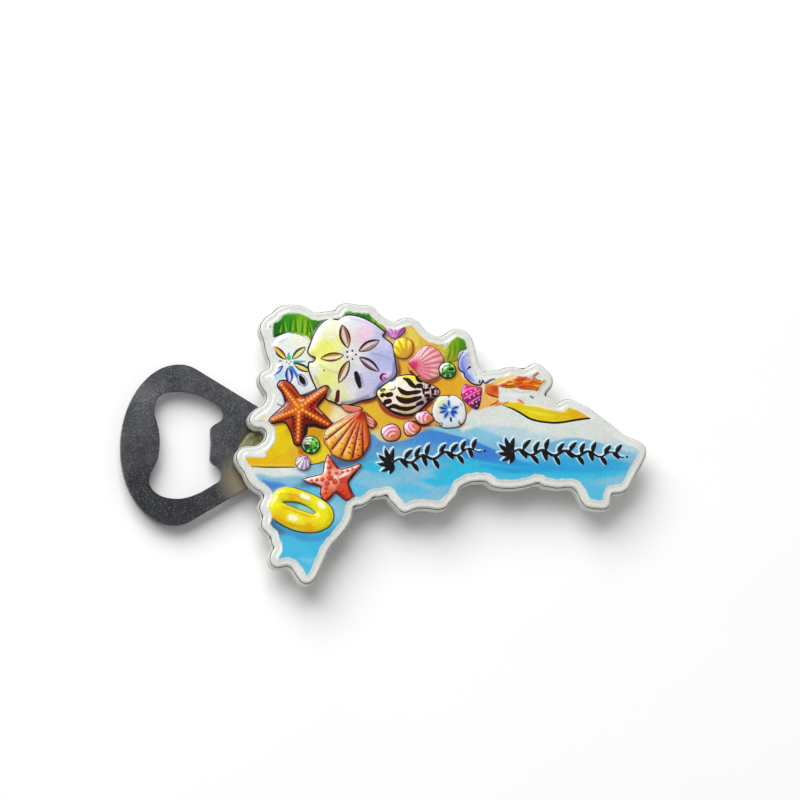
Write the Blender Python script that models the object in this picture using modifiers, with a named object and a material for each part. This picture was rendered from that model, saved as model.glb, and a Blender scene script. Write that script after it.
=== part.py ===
"""Souvenir bottle opener: an embossed coastline board carried on a stamped steel opener plate.

Units are metres, +Z is up and the printed face looks up. The object lies on its magnets.
Every outline is drawn in millimetres on the plan view, then scaled once when a solid is made.
"""

import math

import bmesh
import bpy
import numpy as np
from mathutils import Vector

MM = 0.001
NAME = "souvenir_bottle_opener"

# Heights above the table, in millimetres, from the bottom of the stack to the top.
GAP = 0.3
MAGNET_THICKNESS = 5.0
MAGNET_GLUE = 0.4
BOARD_LOW = MAGNET_THICKNESS + GAP + MAGNET_GLUE + GAP
BOARD_THICKNESS = 3.0
PLATE_GLUE = 0.3
PLATE_THICKNESS = 1.8
PLATE_HIGH = BOARD_LOW - GAP - PLATE_GLUE - GAP
FACE_GLUE = 0.2
FACE_GLUE_LOW = BOARD_LOW + BOARD_THICKNESS + GAP
FACE_LOW = FACE_GLUE_LOW + FACE_GLUE + GAP
FACE_THICKNESS = 0.5
FACE_HIGH = FACE_LOW + FACE_THICKNESS

# Plan-view margins, in millimetres.
BOARD_RIM = 0.4
FACE_GLUE_INSET = 1.2
PLATE_GLUE_INSET = 1.6
EDGE_BEVEL = 0.25

# The opener's head is half an ellipse; two straight sides taper from it to a round-ended tail.
HEAD_CENTRE = (-55.55, -0.2)
HEAD_HALF_LENGTH = 14.8
HEAD_HALF_WIDTH = 21.5
HEAD_LEAN = math.radians(-5.0)
SHOULDER_RADIUS = 9.0
TAPER_ANGLE = math.radians(31.0)
TAIL_HALF_WIDTH = 9.0
NECK_RADIUS = 14.0
TAIL_END = 2.0

# Radius of each disc magnet and the plan position of its centre.
MAGNETS = {
    "upper": (9.0, -15.0, 22.0),
    "lower": (8.0, -22.0, -20.5),
    "right": (9.0, 36.0, 4.0),
}
MAGNET_GLUE_INSET = 1.5

# The island's coastline, clockwise from the north-west bay: the edge of the printed sheet.
COAST = [
    (-33.5, 29.4), (-33.5, 30.9), (-32.9, 32.3), (-31.6, 33.6), (-30.4, 34.4), (-29.4, 35.4),
    (-28.2, 36.2), (-26.6, 36.7), (-24.6, 36.8), (-22.6, 36.6), (-21.0, 35.9), (-19.4, 35.0),
    (-17.4, 34.9), (-15.2, 35.3), (-13.5, 35.5), (-12.9, 36.3), (-11.7, 37.2), (-10.2, 37.5),
    (-8.4, 37.3), (-6.6, 37.0), (-4.8, 37.1), (-3.4, 36.7), (-2.4, 35.6), (-1.2, 34.4),
    (0.3, 33.4), (1.8, 32.8), (3.0, 32.9), (4.4, 33.7), (6.0, 33.9), (7.6, 33.6),
    (8.9, 32.7), (10.0, 31.3), (11.3, 30.1), (12.9, 29.3), (14.5, 29.0), (15.7, 29.5),
    (17.2, 30.6), (18.8, 31.2), (20.4, 31.0), (21.9, 30.2), (23.0, 28.7), (23.6, 26.7),
    (24.0, 24.6), (24.5, 22.3), (25.2, 20.6), (26.4, 19.8), (28.2, 20.1), (30.4, 20.3),
    (32.4, 21.1), (34.6, 21.2), (36.8, 20.8), (38.4, 21.6), (40.1, 22.4), (41.6, 21.8),
    (43.0, 20.6), (44.2, 19.3), (44.6, 17.6), (44.1, 16.2), (43.0, 14.9), (42.5, 13.8),
    (43.9, 13.0), (45.0, 12.2), (45.7, 11.6), (46.7, 12.2), (48.3, 12.8), (50.0, 12.6),
    (52.0, 11.6), (54.2, 10.6), (57.3, 8.4), (61.0, 5.6), (64.0, 3.3), (66.2, 2.4),
    (68.0, 1.7), (69.2, 0.4), (69.4, -1.2), (68.6, -3.3), (67.1, -5.9), (65.6, -8.5),
    (64.4, -10.7), (63.0, -11.7), (61.3, -12.0), (60.0, -12.3), (59.6, -13.7), (59.3, -15.2),
    (58.3, -16.2), (56.4, -16.3), (54.2, -16.1), (52.7, -15.5), (51.6, -13.9), (50.7, -12.0),
    (49.7, -10.9), (48.2, -10.6), (45.6, -10.9), (43.2, -10.6), (41.5, -10.3), (40.2, -9.6),
    (38.5, -10.1), (35.8, -10.8), (33.0, -11.2), (29.8, -11.1), (27.7, -10.6), (26.3, -9.6),
    (24.6, -9.4), (22.0, -9.7), (20.2, -10.5), (18.8, -11.5), (18.1, -13.2), (17.0, -14.5),
    (16.0, -15.6), (15.0, -16.7), (12.9, -17.2), (10.9, -16.9), (7.9, -16.9), (6.2, -17.4),
    (4.3, -18.1), (2.8, -17.5), (1.6, -16.1), (0.4, -15.0), (-0.3, -13.7), (-1.2, -13.7),
    (-2.6, -14.1), (-4.1, -14.2), (-5.3, -15.3), (-7.2, -16.3), (-9.4, -16.8), (-9.9, -18.4),
    (-10.4, -20.3), (-11.5, -22.4), (-13.3, -24.7), (-15.6, -27.2), (-17.2, -30.0), (-18.6, -33.1),
    (-19.9, -35.7), (-21.1, -37.1), (-22.5, -37.5), (-23.8, -36.9), (-25.0, -35.3), (-26.1, -33.6),
    (-27.4, -32.9), (-29.0, -33.2), (-30.5, -33.3), (-31.6, -32.4), (-31.9, -30.8), (-31.4, -29.2),
    (-30.8, -28.1), (-31.4, -26.8), (-31.6, -25.5), (-32.8, -24.1), (-34.0, -22.5), (-33.9, -21.0),
    (-33.7, -19.7), (-34.3, -18.4), (-34.4, -17.0), (-33.8, -15.6), (-33.3, -14.3), (-34.4, -13.1),
    (-36.2, -11.9), (-37.5, -10.3), (-38.4, -8.3), (-39.7, -6.5), (-40.4, -4.8), (-40.2, -3.2),
    (-39.1, -1.9), (-37.3, -1.5), (-35.4, -1.4), (-34.1, -0.7), (-32.8, 0.5), (-32.3, 1.9),
    (-32.7, 3.2), (-34.0, 3.8), (-35.3, 3.8), (-36.5, 4.7), (-36.8, 6.1), (-36.1, 7.6),
    (-34.7, 8.7), (-33.2, 9.8), (-32.3, 11.2), (-32.2, 12.6), (-33.1, 14.2), (-33.9, 15.8),
    (-34.0, 17.4), (-33.3, 18.6), (-32.0, 19.2), (-31.2, 20.1), (-31.2, 21.5), (-31.8, 23.1),
    (-32.3, 25.1), (-32.7, 27.3),
]

# The opener's mouth, clockwise from its top: two round lobes, a bowed bar and a square tooth.
MOUTH = [
    (-56.2, 14.1), (-53.6, 14.1), (-51.0, 13.7), (-48.5, 13.0), (-46.1, 11.8), (-44.2, 10.6),
    (-43.1, 9.2), (-42.9, 7.9), (-43.3, 6.8), (-44.4, 5.9), (-45.7, 5.1), (-46.4, 4.2),
    (-46.4, 2.5), (-46.3, 0.3), (-46.5, -1.9), (-46.6, -3.9), (-46.1, -4.9), (-44.9, -5.7),
    (-43.9, -6.5), (-43.6, -7.6), (-43.8, -8.8), (-44.6, -9.9), (-46.6, -11.2), (-49.1, -12.7),
    (-51.8, -13.9), (-54.6, -14.6), (-57.2, -14.6), (-59.6, -14.1), (-61.6, -12.9), (-62.8, -11.2),
    (-62.9, -9.4), (-62.4, -7.7), (-61.4, -5.9), (-60.6, -4.1), (-60.2, -1.9), (-60.0, 0.9),
    (-60.2, 3.5), (-60.7, 5.7), (-61.2, 7.3), (-61.3, 9.0), (-61.0, 10.7), (-60.2, 12.3),
    (-58.6, 13.6),
]


def clear_scene():
    """Removes every object the file starts with."""
    for obj in list(bpy.data.objects):
        bpy.data.objects.remove(obj, do_unlink=True)


def make_collection(name):
    """Returns a new collection linked to the scene."""
    made = bpy.data.collections.new(name)
    bpy.context.scene.collection.children.link(made)
    return made


def make_material(name, colour, roughness, metallic=0.0):
    """Returns a Principled material."""
    material = bpy.data.materials.new(name)
    material.use_nodes = True
    shader = material.node_tree.nodes["Principled BSDF"]
    shader.inputs["Base Color"].default_value = (*colour, 1.0)
    shader.inputs["Roughness"].default_value = roughness
    shader.inputs["Metallic"].default_value = metallic
    return material


def smooth_loop(points, steps=2):
    """Closed Catmull-Rom curve through the points, as an array of steps points per span."""
    control = np.array(points, float)
    before, after, later = (np.roll(control, shift, axis=0) for shift in (1, -1, -2))
    rows = []
    for t in np.arange(steps) / steps:
        rows.append(0.5 * (2 * control + (after - before) * t
                           + (2 * before - 5 * control + 4 * after - later) * t**2
                           + (3 * control - before - 3 * after + later) * t**3))
    return np.stack(rows, axis=1).reshape(-1, 2)


def signed_area(loop):
    """Positive when the loop runs anticlockwise."""
    ahead = np.roll(loop, -1, axis=0)
    return 0.5 * float(np.sum(loop[:, 0] * ahead[:, 1] - loop[:, 1] * ahead[:, 0]))


def distance_to_loop(points, loop):
    """Distance of each point to the closed polyline."""
    start, run = loop, np.roll(loop, -1, axis=0) - loop
    offset = points[:, None, :] - start[None]
    share = np.sum(offset * run[None], axis=2) / np.sum(run * run, axis=1)
    nearest = offset - np.clip(share, 0, 1)[:, :, None] * run[None]
    return np.sqrt(np.sum(nearest**2, axis=2)).min(axis=1)


def offset_loop(loop, distance):
    """The loop moved outward by distance, or inward if negative, with its crossed points dropped."""
    tangent = np.roll(loop, -1, axis=0) - np.roll(loop, 1, axis=0)
    tangent /= np.linalg.norm(tangent, axis=1)[:, None]
    outward = np.stack([tangent[:, 1], -tangent[:, 0]], axis=1)
    if signed_area(loop) < 0:
        outward = -outward
    moved = loop + outward * distance
    kept = distance_to_loop(moved, loop) > abs(distance) * 0.97
    return moved[kept]


def arc(centre, radius, start, end, count):
    """Points on a circular arc between two angles in radians."""
    angles = np.linspace(start, end, count)
    return [(centre[0] + radius * math.cos(a), centre[1] + radius * math.sin(a)) for a in angles]


def ellipse(centre, half_x, half_y, turn=0.0, count=40):
    """Closed anticlockwise ellipse whose axes are turned by an angle in radians."""
    angles = np.arange(count) * 2 * math.pi / count
    x, y = half_x * np.cos(angles), half_y * np.sin(angles)
    cos, sin = math.cos(turn), math.sin(turn)
    return np.stack([centre[0] + x * cos - y * sin, centre[1] + x * sin + y * cos], axis=1)


def plate_side(sign):
    """One side of the opener plate from shoulder to tail, sign +1 for the upper side."""
    shoulder = (HEAD_CENTRE[0] + 1.0 * sign, HEAD_CENTRE[1] + sign * (HEAD_HALF_WIDTH - SHOULDER_RADIUS))
    top = sign * math.pi / 2
    points = arc(shoulder, SHOULDER_RADIUS, top - sign * 0.12, top - sign * TAPER_ANGLE, 5)
    drop = abs(points[-1][1]) - TAIL_HALF_WIDTH - NECK_RADIUS * (1 - math.cos(TAPER_ANGLE))
    neck_x = points[-1][0] + drop / math.tan(TAPER_ANGLE) + NECK_RADIUS * math.sin(TAPER_ANGLE)
    neck = (neck_x, sign * (TAIL_HALF_WIDTH + NECK_RADIUS))
    points += arc(neck, NECK_RADIUS, -top - sign * TAPER_ANGLE, -top, 7)
    return points


def plate_outline():
    """The opener plate's outline, clockwise from the left of its head."""
    head = ellipse(HEAD_CENTRE, HEAD_HALF_LENGTH, HEAD_HALF_WIDTH, HEAD_LEAN, 64)
    left = head[head[:, 0] < HEAD_CENTRE[0] + 0.5 + 0.05 * (head[:, 1] - HEAD_CENTRE[1])]
    tail = arc((TAIL_END, 0.0), TAIL_HALF_WIDTH, math.pi / 2, -math.pi / 2, 17)
    return np.array(list(left[::-1]) + plate_side(1) + tail + plate_side(-1)[::-1])


def star(centre, arms, waist, steps=3):
    """Rounded star through its arm tips, with a waist point at the given radius between arms."""
    arms = sorted(arms, key=lambda tip: math.atan2(tip[1] - centre[1], tip[0] - centre[0]))
    angles = [math.atan2(y - centre[1], x - centre[0]) for x, y in arms]
    points = []
    for index, tip in enumerate(arms):
        following = angles[(index + 1) % len(arms)]
        turn = (following - angles[index]) % (2 * math.pi)
        middle = angles[index] + turn / 2
        points.append(tip)
        points.append((centre[0] + waist * math.cos(middle), centre[1] + waist * math.sin(middle)))
    return smooth_loop(points, steps)


def fan(apex, heading, spread, reach, steps=3):
    """Scallop outline: a fan from its apex, opening along heading by spread each side."""
    points = [apex]
    for turn in np.linspace(-spread, spread, 7):
        angle = heading + turn
        points.append((apex[0] + reach * math.cos(angle), apex[1] + reach * math.sin(angle)))
    return smooth_loop(points, steps)


def make_slab(name, loops, low, high, material, collection):
    """Extruded outline from low to high, in millimetres: the first loop is solid, the rest are holes."""
    data = bpy.data.curves.new(name, "CURVE")
    data.dimensions = "2D"
    data.fill_mode = "BOTH"
    data.extrude = (high - low) / 2 * MM
    for loop in loops:
        spline = data.splines.new("POLY")
        spline.points.add(len(loop) - 1)
        spline.use_cyclic_u = True
        for point, (x, y) in zip(spline.points, loop):
            point.co = (x * MM, y * MM, 0, 1)
    curve = bpy.data.objects.new(name + "_curve", data)
    collection.objects.link(curve)
    graph = bpy.context.evaluated_depsgraph_get()
    mesh = bpy.data.meshes.new_from_object(curve.evaluated_get(graph))
    mesh.name = name
    welded = bmesh.new()
    welded.from_mesh(mesh)
    bmesh.ops.remove_doubles(welded, verts=welded.verts, dist=0.00001 * MM)
    bmesh.ops.recalc_face_normals(welded, faces=welded.faces)
    welded.to_mesh(mesh)
    welded.free()
    slab = bpy.data.objects.new(name, mesh)
    slab.matrix_world = curve.matrix_world
    slab.location.z = (low + high) / 2 * MM
    collection.objects.link(slab)
    bpy.data.objects.remove(curve, do_unlink=True)
    mesh.materials.clear()
    mesh.materials.append(material)
    return slab


def soften_edges(obj, width, segments=2):
    """Rounds the sharp outer edges."""
    bevel = obj.modifiers.new("edge_rounding", "BEVEL")
    bevel.width = width * MM
    bevel.segments = segments
    bevel.limit_method = "ANGLE"
    bevel.angle_limit = math.radians(60)
    bevel.use_clamp_overlap = True


def make_disc(name, radius, centre, low, high, bevel, material, collection):
    """Upright disc between two heights, all in millimetres."""
    bpy.ops.mesh.primitive_cylinder_add(
        vertices=48, radius=radius * MM, depth=(high - low) * MM,
        location=(centre[0] * MM, centre[1] * MM, (low + high) / 2 * MM),
    )
    disc = bpy.context.object
    disc.name = disc.data.name = name
    for owner in list(disc.users_collection):
        owner.objects.unlink(disc)
    collection.objects.link(disc)
    disc.data.materials.append(material)
    disc.data.shade_smooth()
    disc.data.set_sharp_from_angle(angle=math.radians(40))
    if bevel:
        soften_edges(disc, bevel)
    return disc


def as_cutter(obj):
    """Marks a helper that only feeds a Boolean."""
    obj.hide_render = True
    obj.display_type = "WIRE"
    return obj


def join_shape(target, helper, operation="UNION"):
    """Joins or cuts a helper on the target with an exact Boolean."""
    boolean = target.modifiers.new(helper.name, "BOOLEAN")
    boolean.operation = operation
    boolean.object = helper
    boolean.solver = "EXACT"


def relief_shapes():
    """The embossed motifs: name, outline and height above the sheet, in millimetres."""
    return {
        "sand_dollar_large": (ellipse((-9.6, 23.4), 11.6, 11.2), 0.85),
        "sand_dollar_small": (ellipse((-25.8, 20.6), 5.2, 5.6), 0.60),
        "starfish_orange": (star((-23.6, 9.6), [(-28.4, 15.6), (-16.0, 14.4), (-15.2, 4.6),
                                                (-24.2, -0.6), (-31.4, 5.4)], 3.2), 1.00),
        "starfish_red": (star((-14.6, -9.8), [(-15.8, -3.4), (-7.6, -6.0), (-9.8, -14.6),
                                              (-17.6, -15.4), (-22.6, -9.8)], 3.0), 0.95),
        "scallop_orange": (fan((-6.6, 8.8), math.radians(222), math.radians(36), 12.6), 0.80),
        "scallop_pink": (fan((6.2, 21.8), math.radians(2), math.radians(34), 9.2), 0.75),
        "whelk": (ellipse((4.6, 13.4), 8.8, 5.0, math.radians(8)), 0.90),
        "sand_dollar_blue": (ellipse((16.4, 9.0), 4.6, 4.3), 0.65),
        "snail_left": (ellipse((-20.6, -0.4), 2.5, 2.5, 0, 24), 0.70),
        "snail_right": (ellipse((16.2, 20.0), 2.2, 2.2, 0, 24), 0.70),
        "swim_ring": (ellipse((-23.8, -18.0), 9.0, 5.6, math.radians(-16)), 0.90),
    }


def build():
    """Models the object and places it with its base centre at the origin."""
    clear_scene()
    parts = make_collection(NAME)
    helpers = make_collection(NAME + "_helpers")

    printed = make_material("printed_foil", (0.32, 0.60, 0.72), 0.22)
    board_white = make_material("board_white", (0.78, 0.77, 0.73), 0.45)
    steel = make_material("opener_steel", (0.20, 0.20, 0.21), 0.38, 1.0)
    glue = make_material("adhesive", (0.33, 0.32, 0.12), 0.30)
    clear_glue = make_material("face_bond", (0.75, 0.74, 0.68), 0.40)
    ferrite = make_material("ferrite", (0.035, 0.035, 0.038), 0.55, 0.2)

    coast = smooth_loop(COAST)
    board_edge = offset_loop(coast, BOARD_RIM)
    plate_edge = plate_outline()

    board = make_slab("board", [board_edge], BOARD_LOW, BOARD_LOW + BOARD_THICKNESS, board_white, parts)
    soften_edges(board, EDGE_BEVEL, 1)

    bond_edge = offset_loop(smooth_loop(COAST, 1), -FACE_GLUE_INSET)
    make_slab("face_adhesive", [bond_edge], FACE_GLUE_LOW, FACE_GLUE_LOW + FACE_GLUE, clear_glue, parts)

    face = make_slab("printed_face", [coast], FACE_LOW, FACE_HIGH, printed, parts)
    sink = FACE_THICKNESS * 0.5
    for name, (loop, height) in relief_shapes().items():
        pad = make_slab("relief_" + name, [loop], FACE_HIGH - sink, FACE_HIGH + height, printed, helpers)
        join_shape(face, as_cutter(pad))

    plate = make_slab("opener_plate", [plate_edge, smooth_loop(MOUTH)],
                      PLATE_HIGH - PLATE_THICKNESS, PLATE_HIGH, steel, parts)
    soften_edges(plate, EDGE_BEVEL)

    glue_pad = offset_loop(plate_edge, -PLATE_GLUE_INSET)
    glue_pad = glue_pad[glue_pad[:, 0] > -34.0]
    glue_low = PLATE_HIGH + GAP
    adhesive = make_slab("plate_adhesive", [glue_pad], glue_low, glue_low + PLATE_GLUE, glue, parts)
    film = make_slab("squeezed_film", [ellipse((-35.2, 1.4), 4.4, 2.0, math.radians(8), 28)],
                     glue_low + PLATE_GLUE * 0.2, glue_low + PLATE_GLUE * 0.8, glue, helpers)
    join_shape(adhesive, as_cutter(film))
    bead = make_slab("squeeze_out", [ellipse((-36.0, 1.4), 2.6, 1.2, math.radians(8), 28)],
                     glue_low + PLATE_GLUE * 0.4, BOARD_LOW + 1.2, glue, helpers)
    join_shape(adhesive, as_cutter(bead))

    for name, (radius, x, y) in MAGNETS.items():
        make_disc("magnet_" + name, radius, (x, y), 0.0, MAGNET_THICKNESS, 0.4, ferrite, parts)
        glue_low = MAGNET_THICKNESS + GAP
        make_disc("magnet_adhesive_" + name, radius - MAGNET_GLUE_INSET, (x, y),
                  glue_low, glue_low + MAGNET_GLUE, 0.0, glue, parts)

    base = bpy.data.objects.new("base", None)
    parts.objects.link(base)
    for obj in list(parts.objects) + list(helpers.objects):
        if obj is not base:
            obj.parent = base
    middle_x = (plate_edge[:, 0].min() + board_edge[:, 0].max()) / 2
    middle_y = (board_edge[:, 1].min() + board_edge[:, 1].max()) / 2
    base.location = Vector((-middle_x, -middle_y, 0.0)) * MM


build()
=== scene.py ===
import math

import bmesh
import bpy
import numpy as np
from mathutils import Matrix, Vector, kdtree


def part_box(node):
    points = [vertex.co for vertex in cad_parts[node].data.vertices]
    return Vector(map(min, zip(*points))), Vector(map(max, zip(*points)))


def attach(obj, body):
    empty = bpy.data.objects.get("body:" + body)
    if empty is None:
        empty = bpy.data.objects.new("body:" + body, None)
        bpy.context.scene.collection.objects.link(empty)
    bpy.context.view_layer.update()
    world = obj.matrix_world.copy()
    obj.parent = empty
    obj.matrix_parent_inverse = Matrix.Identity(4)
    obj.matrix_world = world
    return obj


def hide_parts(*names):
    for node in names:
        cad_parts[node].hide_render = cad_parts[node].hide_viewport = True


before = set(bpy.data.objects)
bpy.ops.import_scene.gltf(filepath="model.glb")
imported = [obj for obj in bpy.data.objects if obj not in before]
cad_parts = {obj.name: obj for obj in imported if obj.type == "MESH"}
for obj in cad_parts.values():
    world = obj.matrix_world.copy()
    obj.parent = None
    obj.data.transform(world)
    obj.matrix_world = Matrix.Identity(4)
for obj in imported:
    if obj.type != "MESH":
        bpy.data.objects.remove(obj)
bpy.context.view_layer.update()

MM = 0.001


# ---------------------------------------------------------------- plan-view geometry, in millimetres

def closed_curve(points, steps=4):
    """Closed Catmull-Rom curve through the points."""
    control = np.array(points, float)
    before, after, later = (np.roll(control, shift, axis=0) for shift in (1, -1, -2))
    rows = []
    for t in np.arange(steps) / steps:
        rows.append(0.5 * (2 * control + (after - before) * t
                           + (2 * before - 5 * control + 4 * after - later) * t**2
                           + (3 * control - before - 3 * after + later) * t**3))
    return np.stack(rows, axis=1).reshape(len(control) * steps, -1)


def open_curve(points, steps=6):
    """Open Catmull-Rom curve from the first point to the last."""
    control = np.array(points, float)
    if len(control) < 3:
        return control
    ends = np.concatenate([2 * control[:1] - control[1:2], control, 2 * control[-1:] - control[-2:-1]])
    rows = []
    for a, b, c, d in zip(ends[:-3], ends[1:-2], ends[2:-1], ends[3:]):
        for t in np.arange(steps) / steps:
            rows.append(0.5 * (2 * b + (c - a) * t + (2 * a - 5 * b + 4 * c - d) * t**2
                               + (3 * b - a - 3 * c + d) * t**3))
    rows.append(control[-1])
    return np.array(rows)


def oval(centre, half_x, half_y, turn=0.0, count=40):
    """Closed ellipse with its axes turned by an angle in degrees."""
    angle = np.arange(count) * 2 * math.pi / count
    x, y = half_x * np.cos(angle), half_y * np.sin(angle)
    cos, sin = math.cos(math.radians(turn)), math.sin(math.radians(turn))
    return np.stack([centre[0] + x * cos - y * sin, centre[1] + x * sin + y * cos], axis=1)


def leaf(base, tip, width, bow=0.0):
    """Pointed petal outline between two points, bowed sideways by a share of its length."""
    base, tip = np.array(base, float), np.array(tip, float)
    along = tip - base
    side = np.array([-along[1], along[0]]) / np.linalg.norm(along)
    share = np.linspace(0, 1, 12)
    spine = base + along * share[:, None] + side * (bow * 4 * share * (1 - share))[:, None]
    half = side * (width / 2 * np.sin(math.pi * share) ** 0.75)[:, None]
    return np.concatenate([spine + half, (spine - half)[-2:0:-1]])


def loop_depth(at, loop):
    """Depth of each point inside the closed loop: positive inside, negative outside."""
    start, run = loop, np.roll(loop, -1, axis=0) - loop
    length = np.maximum(np.sum(run * run, axis=1), 1e-12)
    best = np.full(len(at), 1e9)
    inside = np.zeros(len(at), bool)
    for (ax, ay), (rx, ry), size in zip(start, run, length):
        px, py = at[:, 0] - ax, at[:, 1] - ay
        share = np.clip((px * rx + py * ry) / size, 0, 1)
        best = np.minimum(best, (px - share * rx) ** 2 + (py - share * ry) ** 2)
        if ry:
            crossed = (ay > at[:, 1]) != (ay + ry > at[:, 1])
            inside ^= crossed & (px < py * rx / ry)
    return np.where(inside, 1, -1) * np.sqrt(best)


def stroke_depth(at, path, half):
    """Depth inside a brush stroke whose half width is given at each point of the path."""
    if len(path) == 1:
        return half[0] - np.hypot(at[:, 0] - path[0, 0], at[:, 1] - path[0, 1])
    best = np.full(len(at), -1e9)
    for a, b, wide_a, wide_b in zip(path[:-1], path[1:], half[:-1], half[1:]):
        run = b - a
        size = max(float(run @ run), 1e-12)
        share = np.clip(((at - a) @ run) / size, 0, 1)
        gone = np.hypot(at[:, 0] - a[0] - share * run[0], at[:, 1] - a[1] - share * run[1])
        best = np.maximum(best, wide_a + (wide_b - wide_a) * share - gone)
    return best


def ripple(x, y, size, seed=0.0):
    """Smooth repeatable unevenness between -1 and 1, with features about size millimetres across."""
    k = 2 * math.pi / size
    return (np.sin(k * (0.83 * x + 0.55 * y) + 1.7 + seed)
            + np.sin(k * (-0.47 * x + 0.91 * y) + 4.1 + 2 * seed)
            + np.sin(k * (1.21 * x - 0.38 * y) + 0.6 + 3 * seed)) / 3


def ease(value, low, high):
    """0 below low, 1 above high, smooth between."""
    t = np.clip((value - low) / (high - low), 0, 1)
    return t * t * (3 - 2 * t)


def dome(depth, shoulder):
    """Profile of a rounded mound: 0 at its edge, rising to 1 at the shoulder's depth inside it."""
    share = 1 - np.clip(depth / shoulder, 0, 1)
    return np.sqrt(1 - share**2)


WHITE_LEVEL = 1.085


def pigment(colour):
    """Surface colour, linear, of an sRGB 0-255 colour as it looks under the studio light."""
    return (np.array(colour, float) / 255) ** 2.2 / WHITE_LEVEL


# ---------------------------------------------------------------- the frame's outlines

def cad_outline(node, level):
    """Closed loop of a CAD node's corners at one height, in millimetres, with its plan position."""
    shape = bmesh.new()
    shape.from_mesh(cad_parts[node].data)
    bmesh.ops.remove_doubles(shape, verts=shape.verts, dist=1e-7)
    floor = [face for face in shape.faces if all(abs(v.co.z - level) < 1e-6 for v in face.verts)]
    under = set(floor)
    edges = {}
    for face in floor:
        for edge in face.edges:
            if sum(other in under for other in edge.link_faces) == 1:
                for vert in edge.verts:
                    edges.setdefault(vert, []).append(edge)
    first = min(edges, key=lambda vert: (vert.co.x, vert.co.y))
    loop, vert, came = [first], first, None
    while True:
        edge = next(e for e in edges[vert] if e is not came)
        vert, came = edge.other_vert(vert), edge
        if vert is first:
            break
        loop.append(vert)
    points = np.array([[v.co.x, v.co.y] for v in loop]) / MM
    shape.free()
    return points


FACE_LOW, FACE_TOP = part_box("printed_face")
BOARD_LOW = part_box("board")[0]
PLATE_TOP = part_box("opener_plate")[1]
SHEET_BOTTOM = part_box("face_adhesive")[1].z / MM

# The artwork is drawn from a point this far in from the sheet's west end, half way up its height.
ORIGIN_FROM_WEST = 40.412
DRAWING_ORIGIN = np.array([FACE_LOW.x / MM + ORIGIN_FROM_WEST, (FACE_LOW.y + FACE_TOP.y) / 2 / MM])
COAST = closed_curve(cad_outline("printed_face", FACE_LOW.z) - DRAWING_ORIGIN, 3)


# ---------------------------------------------------------------- colours of the print, sRGB as seen, with the painted highlight and shade colours LIT_EDGE, SHADED_EDGE and SCROLL_HIGHLIGHT

INK = (14, 12, 16)
FILM_WHITE = (222, 224, 219)
BORDER_WHITE = (223, 225, 219)
SURF = (218, 224, 218)
MIST = (182, 212, 218)
SHALLOW = (132, 190, 216)
CYAN = (46, 182, 219)
BRIGHT_BLUE = (88, 187, 222)
MID_BLUE = (92, 148, 206)
DEEP_BLUE = (72, 134, 206)
DUSK_BLUE = (72, 108, 148)
CREAM = (238, 226, 196)
BROWN = (140, 66, 30)
LIT_EDGE = (255, 252, 240)
SHADED_EDGE = (60, 18, 8)
SCROLL_INK = (8, 9, 18)
SCROLL_HIGHLIGHT = (204, 234, 242)


# ---------------------------------------------------------------- the printed sheet's drawing board

# Ink is stored as depth inside the nearest line, in millimetres, and reaches this far round each line.
NO_INK = -3.0
INK_REACH = 0.5
LINE_REACH = 1.2
THINNEST_LINE = 0.02
FILL_REACH = 1.5
LINE_SHOULDER = 0.35
LIT_RIM_WIDTH = 0.8
LIT_RIM_STRENGTH = 0.42


def brush_path(points, width, smooth=True):
    """Rows of x, y and width along a stroke. width is one number, or one for each of the points."""
    points = np.array(points, float).reshape(-1, 2)
    widths = np.broadcast_to(np.array(width, float), (len(points),))
    joined = np.concatenate([points, widths[:, None]], axis=1)
    return open_curve(joined) if smooth and len(points) > 2 else joined


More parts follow.
